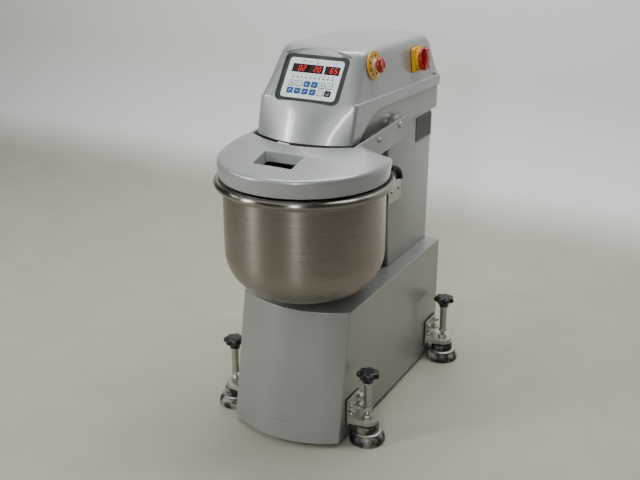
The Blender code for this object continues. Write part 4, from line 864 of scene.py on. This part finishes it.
for k in range(10):
    x = -49.5 + 11.05 * k
    slab("panel_lamp", spot(1.9, 20, x, 2.2), -0.1, 0.25, filmBlack, "machine", panelFrame())
    tick = 1.8 if k % 3 else 2.8
    slab("panel_tick", barOutline(x - tick, 7.4 + (k % 2), x + tick, 7.6 + (k % 2) * 1.3, 0.9), -0.1, 0.15,
         filmBlack, "machine",
         panelFrame())
for shapes in ([barOutline(-36, 38.6, -32, 42.2, 1.6), spot(1.7, 14, -31, 42)],
               [barOutline(-21, 40.6, -11, 40.6, 1.0)],
               [barOutline(1.4, 38.4, 1.4, 43, 1.7), barOutline(1.4, 38.4, 5, 38.4, 1.4)],
               [barOutline(40, 41.5, 50, 41.5, 1.0)]):
    for outline in shapes:
        slab("panel_symbol", outline, -0.1, 0.12, filmBlack, "machine", panelFrame())
print("panel made")

# lid

lid = {"edge": 634, "shoulder": 673, "radius": 200, "skirt": 195.4, "rise": 39.8, "wall": 4, "inner": 129,
       "front": -9, "hollow": 42, "rimFall": 0.05}
lidTurn = math.radians(20)


def lidInner(angle):
    x = lid["radius"] * math.cos(angle)
    side = lid["radius"] * math.cos(lidTurn)
    if math.sin(angle) >= -math.sin(lidTurn):
        share = (math.degrees(math.asin(math.sin(angle))) + 20) / 42
        return math.copysign(lid["inner"], x), lid["front"] + 21 * share
    x = x * lid["inner"] / side
    return x, lid["front"] - lid["hollow"] * (1 - (x / lid["inner"]) ** 2)


def lidSkin(angle, share):
    inX, inY = lidInner(angle)
    outX, outY = lid["radius"] * math.cos(angle), lid["radius"] * math.sin(angle)
    inZ = lid["shoulder"] + lid["rise"] + lid["rimFall"] * inY
    power = 1 + 0.6 * (outX / lid["radius"]) ** 2
    z = inZ - (inZ - lid["shoulder"]) * share ** power
    behind = max(0.0, (math.degrees(math.asin(math.sin(angle))) + 20) / 42)
    y = inY + (outY - inY) * share - 18 * 4 * share * (1 - share) * behind
    return Vector((inX + (outX - inX) * share, y, z))


def lidSection(angle):
    out, down = Vector((math.cos(angle), math.sin(angle), 0)), Vector((0, 0, -1))
    top = lidSkin(angle, 1)
    foot = Vector((lid["skirt"] * out.x, lid["skirt"] * out.y, lid["edge"]))
    fall = (foot - top).normalized()
    inward = lidSkin(angle, 0.12) - lidSkin(angle, 0)
    inward.z = 0
    inward.normalize()
    start = lidSkin(angle, 0)
    along = (lidSkin(angle, 1) - lidSkin(angle, 0.93)).normalized()
    outer = [start + down * 12, start + down * 5, start + down * 1.6 + inward * 0.2,
             start + inward * 1.6 + down * 0.1]
    shares = [0.04, 0.08, 0.14] + [0.2 + 0.075 * k for k in range(10)]
    outer += [lidSkin(angle, share) for share in shares]
    corner = lidSkin(angle, 1)
    reach = 9
    for k in range(7):
        t = k / 6
        a, b, c = corner - along * reach, corner, corner + fall * reach
        outer.append(a * (1 - t) ** 2 + b * 2 * t * (1 - t) + c * t * t)
    outer += [corner + fall * 20, foot + (corner - foot).normalized() * 3, foot - fall * 0.6]
    wall = lid["wall"]
    inner = [outer[0] + inward * wall, outer[1] + inward * wall, start + inward * wall + down * 4.6,
             start + inward * (wall + 0.6) + down * 4.8]
    inner += [lidSkin(angle, share) + down * (wall + (1.2 if share < 0.05 else 0)) for share in shares]
    for k in range(7):
        t = k / 6
        a, b, c = corner - along * reach, corner, corner + fall * (reach + 3)
        inner.append(a * (1 - t) ** 2 + b * 2 * t * (1 - t) + c * t * t
                     + down * (wall - k * 0.3) - out * (wall * k / 6))
    inner += [corner + fall * 20 - out * wall, foot - fall * 3 - out * wall, foot - fall * 0.6 - out * (wall - 0.4)]
    return [p * mm + Vector((0, axisY, 0)) for p in outer], [p * mm + Vector((0, axisY, 0)) for p in inner]


count = 132
sections = [lidSection(math.radians(22 - 224 * k / count)) for k in range(count + 1)]
bm = bmesh.new()
grids = [[[bm.verts.new(p) for p in section[side]] for section in sections] for side in (0, 1)]
last = len(grids[0][0]) - 1
for i in range(count):
    for grid in grids:
        for j in range(last):
            bm.faces.new((grid[i][j], grid[i + 1][j], grid[i + 1][j + 1], grid[i][j + 1]))
    for j in (0, last):
        bm.faces.new((grids[0][i][j], grids[0][i + 1][j], grids[1][i + 1][j], grids[1][i][j]))
for j in range(last):
    for i in (0, count):
        bm.faces.new((grids[0][i][j], grids[0][i][j + 1], grids[1][i][j + 1], grids[1][i][j]))
lidShell = makePiece("lid_moulding", bm, mouldedPaint, None, smoothAngle=45)
feed = {"width": 103, "length": 62, "y": -116, "level": 692, "slope": math.atan2(34, 152)}
feedFrame = Matrix.Translation(place(0, feed["y"], feed["level"])) @ Matrix.Rotation(feed["slope"], 4, "X")


def chute(grow, low, high, narrow=16):
    bm = bmesh.new()
    rings = []
    for z in [low + (high - low) * k / 4 for k in range(5)]:
        taper = narrow * ((high - z) / (high - low))
        plan = roundedBox(feed["width"] + 2 * grow - taper, feed["length"] + 2 * grow - taper, 5, 6)
        rings.append([(x * mm, y * mm, z * mm) for x, y in plan])
    bridge(bm, rings)
    return makePiece("chute", bm, mouldedPaint, None, matrix=feedFrame)


cut(lidShell, chute(3.5, -20, -1), "UNION")
cut(lidShell, chute(0, -24, 12))


print("feed rim edges", softenMouth(lidShell, 2.2, feedFrame, lambda p: abs(p.x) < 54 and abs(p.y) < 33
                                    and p.z > -3,
                                    28, 0.1, 38))
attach(lidShell, "lid")
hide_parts("lid_shell")

arm = {"inner": 130, "thick": 8, "top": 715.3, "rise": 0.047, "tail": 256, "radius": 25, "hinge": (220, 713)}
tailZ = arm["top"] + arm["rise"] * arm["tail"] - arm["radius"]
outline = [(-14, arm["top"] - 4.6), (-6, arm["top"] - 1.2), (4, arm["top"])]
outline += [(arm["tail"] + arm["radius"] * math.sin(a), tailZ + arm["radius"] * math.cos(a))
            for a in (math.pi * k / 24 for k in range(25))]
outline += [(60, 659), (30, 655), (8, 653), (-8, 668), (-14, 683)]
for side, name in ((1, "right"), (-1, "left")):
    bm = bmesh.new()
    rings = [[place(side * x, y, z) for y, z in outline] for x in (arm["inner"], arm["inner"] + arm["thick"])]
    bridge(bm, rings)
    makePiece(f"lid_arm_{name}", bm, sheetPaint, "lid", bevel=2.2, smoothAngle=30)
    outward = Matrix.Rotation(side * math.pi / 2, 4, "Y")
    face = Matrix.Translation(place(side * (arm["inner"] + arm["thick"]), 105, 702)) @ outward
    turned(f"arm_screw_{name}", domeScrew, zincPlate, "lid", face, 32)
    turned(f"arm_washer_{name}", [(3.4, -0.2), (7.4, -0.2), (7.6, 0.2), (7.2, 0.7), (3.4, 0.7)], zincPlate, "lid",
           face, 40,
           closed=True)

# hinge: shaft through the head, a turned collar and a domed cap on each side
shaft = {"radius": 7.5, "collar": 22, "collarStart": 116.3}
core, collarWide, inboard = shaft["radius"], shaft["collar"], shaft["collarStart"]
across = Matrix.Translation(place(0, *arm["hinge"])) @ Matrix.Rotation(math.pi / 2, 4, "Y")
half = [(0, 0), (core, 0), (core, inboard), (20.4, inboard), (collarWide, 117.6), (collarWide, 127.6), (21, 128.9),
        (19.6, 129.6), (core, 129.7), (core, 138.3), (8.3, 138.3), (8.2, 139.2), (7.2, 140.8), (5, 141.8),
        (2.4, 142.2), (0, 142.2)]
whole = [(r, -z) for r, z in reversed(half[2:])] + half[2:]
hinge = turned("hinge_shaft_turned", whole, zincPlate, "machine", across, 56)
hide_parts("hinge_shaft")
print("lid made")

# bowl

bowl = {"radius": 188, "corner": 100, "bottom": 354, "bead": 619, "beadRadius": 9.5, "wall": 2.5}
r, c, z0 = bowl["radius"], bowl["corner"], bowl["bottom"]
quarter = [math.pi / 2 * k / 20 for k in range(21)]
profile = [(0, z0), (30, z0), (60, z0)] + [(r - c + c * math.sin(a), z0 + c - c * math.cos(a)) for a in quarter]
profile += [(r, 500), (r, 560), (r, 600), (r, 612)]
beadX = r + 1 + bowl["beadRadius"]
profile += [(beadX - bowl["beadRadius"] * math.cos(math.radians(a)),
             bowl["bead"] - bowl["beadRadius"] * math.sin(math.radians(a)))
            for a in (30, 50, 70, 90, 110, 130, 150, 170, 190, 210, 230, 250, 265, 280, 295)]
profile += [(r - 0.6, 626.2), (r - bowl["wall"], 622), (r - bowl["wall"], 600), (r - bowl["wall"], 520)]
ci = c - bowl["wall"]
profile += [(r - c + ci * math.sin(a), z0 + c - ci * math.cos(a)) for a in reversed(quarter)]
profile += [(40, z0 + bowl["wall"]), (0, z0 + bowl["wall"])]
bowlShell = turned("bowl_spun", profile, bowlSteel, "bowl_set", Matrix.Translation((0, axisY, 0)), 168,
                   smoothAngle=50)
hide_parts("bowl")
print("bowl made")

# rim guard: a folded stainless plate on the column with a rubber roller cap over the bowl's rim

guard = {"plate": (232, 306), "low": 500, "high": 556, "faces": (103.6, 107.2), "roller": 6.5, "screws": (250, 292)}
front, rear = guard["plate"]
outline = [(front, guard["low"]), (rear, guard["low"]), (rear, guard["high"]), (front, guard["high"])]
bm = bmesh.new()
bridge(bm, [[place(x, y, z) for y, z in outline] for x in guard["faces"]])
makePiece("rim_guard_right", bm, toolSteel, "machine", bevel=0.8, smoothAngle=30)
path = [(236 + 58 * math.sin(a), 556 + 38 * math.cos(a)) for a in (math.pi / 2 * k / 12 for k in range(13))]
bm = bmesh.new()
rings = []
for y, z in path:
    reach = Vector((0, y - 236, z - 546)).normalized()
    rings.append([place(110 + guard["roller"] * math.cos(b), y, z) + reach * (guard["roller"] * mm * math.sin(b))
                  for b in (2 * math.pi * k / 16 for k in range(16))])
bridge(bm, rings)
makePiece("rim_roller_right", bm, gasketRubber, "machine", smoothAngle=50)
for y in guard["screws"]:
    seat = Matrix.Translation(place(guard["faces"][1], y, 530)) @ Matrix.Rotation(math.pi / 2, 4, "Y")
    turned("rim_guard_screw", [(r * 0.7, z * 0.7) for r, z in domeScrew], zincPlate, "machine", seat, 20)
for side in (1, -1):
    seat = Matrix.Translation(place(side * casing["half"], 65, 734)) @ Matrix.Rotation(side * math.pi / 2, 4, "Y")
    turned("arch_bolt", [(r * 1.05, z) for r, z in domeScrew], zincPlate, "machine", seat, 28)
print("guard made")

# levelling feet

foot = {"x": 186, "rows": {"front": -32, "rear": 447}, "pad": 43, "disc": 28, "padTall": 44, "knob": 28,
        "sleeve": 9,
        "neck": 156, "eye": 24, "wall": 144.3}
hexagon = [(math.cos(math.radians(60 * k + 15)), math.sin(math.radians(60 * k + 15))) for k in range(6)]
for row, footY in foot["rows"].items():
    for side, sign in (("right", 1), ("left", -1)):
        tag = f"{row}_{side}"
        footX = sign * foot["x"]
        stand = Matrix.Translation(place(footX, footY, 0))
        disc, padTop, sleeve, neck = foot["disc"], foot["padTall"], foot["sleeve"], foot["neck"]
        pad = turned(f"pad_{tag}", [(0, 0), (36, 0), (37, 0.8), (38, 0.1), (40.5, 0.3), (42.3, 2.0),
                                    (foot["pad"], 5), (foot["pad"], 9),
                                    (42.4, 12), (40.8, 15.5), (38, 19.4), (35, 22.6), (33.4, 24.2), (32.4, 24.6),
                                    (32.4, 27.4), (30, 28.6), (disc, 29), (27.6, 31), (disc, 33), (disc, 42),
                                    (27, 43.6),
                                    (25, padTop), (0, padTop)], padRubber, f"pad_{tag}", stand, 72)
        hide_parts(f"foot_pad_{tag}")
        turned(f"pad_ring_{tag}", [(32.2, 24.4), (34.2, 24.4), (34.9, 25.2), (34.9, 26.8), (34, 27.8), (31.6, 28.8),
                                   (28.4, 29.2), (28.4, 28.4), (32.2, 27.2)], zincPlate, f"pad_{tag}", stand, 72,
                                   closed=True)
        # spindle: rolled thread of 1.75 mm pitch below, plain sleeve above
        thread = []
        z = 47.0
        while z < 80:
            thread += [(6.0, z), (5.3, z + 0.875)]
            z += 1.75
        body = f"spindle_{tag}"
        rod = turned(f"spindle_rod_{tag}", [(0, 44.3), (5.6, 44.3), (6, 45)] + thread
                     + [(6, 82), (8.2, 89), (sleeve, 90), (sleeve, 149.5), (9.4, 150), (10.6, 150), (11, 150.6),
                        (11, 152.6), (10.4, 153.2), (10.8, 154), (10.8, 155.6), (10, neck), (0, neck)], zincPlate,
                        body, stand, 36, smoothAngle=40)
        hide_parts(f"foot_spindle_{tag}")
        slab(f"spindle_nut_{tag}", [(x * 11.4, y * 11.4) for x, y in hexagon], 82, 89, zincPlate, body, stand,
             bevel=0.8)
        # lobed clamping knob with its boss
        turns = 96
        profileRing = []
        for z, share, lobe in ((foot["neck"], 0.42, 0), (157, 0.46, 0), (166, 0.49, 0), (168.4, 0.56, 0.2),
                               (169.6, 0.76, 0.7),
                               (171, 0.92, 1), (173.4, 0.99, 1), (176, 1, 1), (180, 0.98, 1), (182.8, 0.9, 0.95),
                               (184.8, 0.74, 0.7), (185.8, 0.5, 0.35), (186, 0.3, 0.1)):
            ring = []
            for k in range(turns):
                a = 2 * math.pi * k / turns
                wave = 0.9 + 0.1 * math.cos(7 * a) if lobe else 1
                radius = foot["knob"] * share * (1 + (wave - 1) * lobe)
                ring.append((radius * mm * math.cos(a), radius * mm * math.sin(a), z * mm))
            profileRing.append(ring)
        bm = bmesh.new()
        bridge(bm, profileRing)
        makePiece(f"knob_{tag}", bm, phenolicBlack, body, matrix=stand, smoothAngle=60)
        turned(f"knob_cap_{tag}", [(0, 185.5), (6.5, 185.5), (6.3, 185.8), (4, 186.0), (0, 186.1)], phenolicBlack,
               body, stand, 32)

        # bracket: plate on a rubber pad, four cap nuts, and the eye that the spindle runs through
        wall = foot["wall"]
        lift = Matrix.Translation(place(0, footY, 76)) @ Matrix.Rotation(sign * math.pi / 2, 4, "Z") \
            @ Matrix.Rotation(math.pi / 2, 4, "X")
        slab(f"bracket_gasket_{tag}", roundedBox(69, 73, 3), wall, wall + 2.8, gasketRubber, "machine", lift,
             bevel=0.4)
        bracket = slab(f"bracket_plate_{tag}", roundedBox(68, 72, 4), wall + 2.8, wall + 6, zincPlate, None, lift)
        face = wall + 5
        reach = foot["eye"]
        eye = [(sign * face, -30), (footX, -reach)]
        eye += [(sign * (foot["x"] + reach * math.sin(a)), -reach * math.cos(a))
                for a in (math.pi * k / 28 for k in range(1, 28))]
        eye += [(footX, reach), (sign * face, 30)]
        cut(bracket, slab("eye", eye, 48, 61.6, zincPlate, None, Matrix.Translation(place(0, footY, 0))), "UNION")
        cut(bracket, slab("bore", spot(6.6, 32), 30, 90, zincPlate, None, stand))
        roundEdges(bracket, 1.3)
        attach(bracket, "machine")
        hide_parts(f"foot_bracket_{tag}")
        slab(f"lock_nut_{tag}", [(x * 11.6, y * 11.6) for x, y in hexagon], 61.9, 70, zincPlate, "machine", stand,
             bevel=0.9)
        for u in (-25, 25):
            for v in (0, 23):
                bolt = lift @ Matrix.Translation((u * mm, v * mm, (wall + 6) * mm))
                slab(f"bracket_nut_{tag}", [(x * 8.4, y * 8.4) for x, y in hexagon], 0, 5.4, zincPlate, "machine",
                     bolt, bevel=0.5)
                turned(f"bracket_cap_{tag}", [(0, 5.2), (7, 5.2), (7.1, 7), (6.4, 9.8), (4.4, 12), (2, 12.9),
                                              (0, 13.1)],
                       zincPlate, "machine", bolt, 32)
print("feet made")

# carried-over nodes get their finishes

finishes = {"dough_hook": toolSteel, "breaker_bar": toolSteel, "head_underplate": toolSteel,
            "hook_shaft": zincPlate,
            "bowl_hub": castPaint, "bowl_bearing_housing": castPaint, "bowl_pulley": castPaint,
            "hook_pulley": castPaint,
            "bowl_motor": castPaint, "hook_motor": castPaint, "hook_bearing_housing": castPaint,
            "base_chassis": castPaint,
            "bowl_motor_pulley": zincPlate, "hook_motor_pulley": zincPlate, "contactor_panel": zincPlate,
            "bowl_belt": gasketRubber, "hook_belt": gasketRubber, "control_board": boardGreen,
            "estop_stem": phenolicBlack}
for name, finish in finishes.items():
    node = frame["nodes"][name]
    node.data.materials.clear()
    node.data.materials.append(finish)
print("finishes set")

# floor, backdrop, lights and camera

studio = {"floor": "#b4b0a0", "wall": "#e6e7e4", "key": 42, "top": 9, "left": 36, "streak": 7, "wallLight": 100,
          "world": 0.07}
# painted screed running up into a pale sheet: faintly mottled, satin
floorLook, tree, shader, where = startMaterial("floor_sealed_screed", {"colour": studio["floor"], "roughness": 0.6})
mottle = addNode(tree, "ShaderNodeTexNoise", {}, {
    "Vector": where, "Scale": 6.0, "Detail": 6.0, "Roughness": 0.6})
blend = addNode(tree, "ShaderNodeMix", {"data_type": "RGBA"}, {
    6: hexColour("#a09c8d"), 7: hexColour("#b5b1a3"), "Factor": mottle.outputs["Fac"]})
height = addNode(tree, "ShaderNodeSeparateXYZ", {}, {"Vector": where})
rise = addNode(tree, "ShaderNodeMapRange", {"interpolation_type": "SMOOTHSTEP"}, {
    "Value": height.outputs["Z"], "From Min": 0.004, "From Max": 0.16})
paler = addNode(tree, "ShaderNodeMix", {"data_type": "RGBA"}, {
    6: blend.outputs[2], 7: hexColour(studio["wall"]), "Factor": rise.outputs[0]})
tree.links.new(paler.outputs[2], shader.inputs["Base Color"])
bm = bmesh.new()
section = [(-6, 0)] + [(1.1 + 0.5 * math.sin(a), 0.5 - 0.5 * math.cos(a))
                       for a in (math.pi / 2 * k / 12 for k in range(13))]
section += [(1.6, 4.5)]
rows = [[bm.verts.new((x, y, z)) for y, z in section] for x in (-6, 6)]
for j in range(len(section) - 1):
    bm.faces.new((rows[0][j], rows[1][j], rows[1][j + 1], rows[0][j + 1]))
backdrop = makePiece("backdrop", bm, floorLook, None, smoothAngle=60)

world = bpy.data.worlds.new("studio")
bpy.context.scene.world = world
world.use_nodes = True
world.node_tree.nodes["Background"].inputs["Color"].default_value = hexColour("#c8c8c4")
world.node_tree.nodes["Background"].inputs["Strength"].default_value = studio["world"]


def softLight(name, where, aim, size, power, tint="#ffffff"):
    lamp = bpy.data.lights.new(name, "AREA")
    lamp.shape, lamp.size, lamp.size_y = "RECTANGLE", size[0], size[1]
    lamp.energy = power
    lamp.color = hexColour(tint)[:3]
    holder = bpy.data.objects.new(name, lamp)
    bpy.context.collection.objects.link(holder)
    holder.location = where
    holder.rotation_euler = (Vector(aim) - Vector(where)).to_track_quat("-Z", "Y").to_euler()
    return holder


softLight("window_light", (0.9, -3.1, 1.9), (0, -0.1, 0.5), (0.2, 1.7), studio["key"])
softLight("ceiling_light", (-0.5, -0.9, 3.2), (0, 0, 0.6), (2.0, 1.6), studio["top"])
softLight("left_light", (-2.0, -2.2, 1.5), (0, 0, 0.5), (0.5, 1.6), studio["left"])
for name, turn in (("streak_near", 44), ("streak_far", 66)):
    turn = math.radians(turn)
    softLight(name, (-2.6 * math.sin(turn), -2.6 * math.cos(turn), 1.75), (0, -0.1, 0.7), (0.07, 0.75),
              studio["streak"])
softLight("wall_light", (0.3, 0.5, 3.4), (0, 1.6, 0.9), (3.4, 0.6), studio["wallLight"])

camera = {"lens": 54.14, "azimuth": 28.43, "elevation": 21.13, "place": (1.03266, -1.83325, 1.28152)}
view = bpy.data.cameras.new("camera")
view.lens, view.sensor_width = camera["lens"], 36
holder = bpy.data.objects.new("camera", view)
bpy.context.collection.objects.link(holder)
x, y, z = camera["place"]
holder.matrix_world = Matrix.Translation((x, y + axisY, z)) @ Matrix.Rotation(math.radians(camera["azimuth"]), 4,
                                                                              "Z") \
    @ Matrix.Rotation(math.radians(90 - camera["elevation"]), 4, "X")
bpy.context.scene.camera = holder
print("stage set")
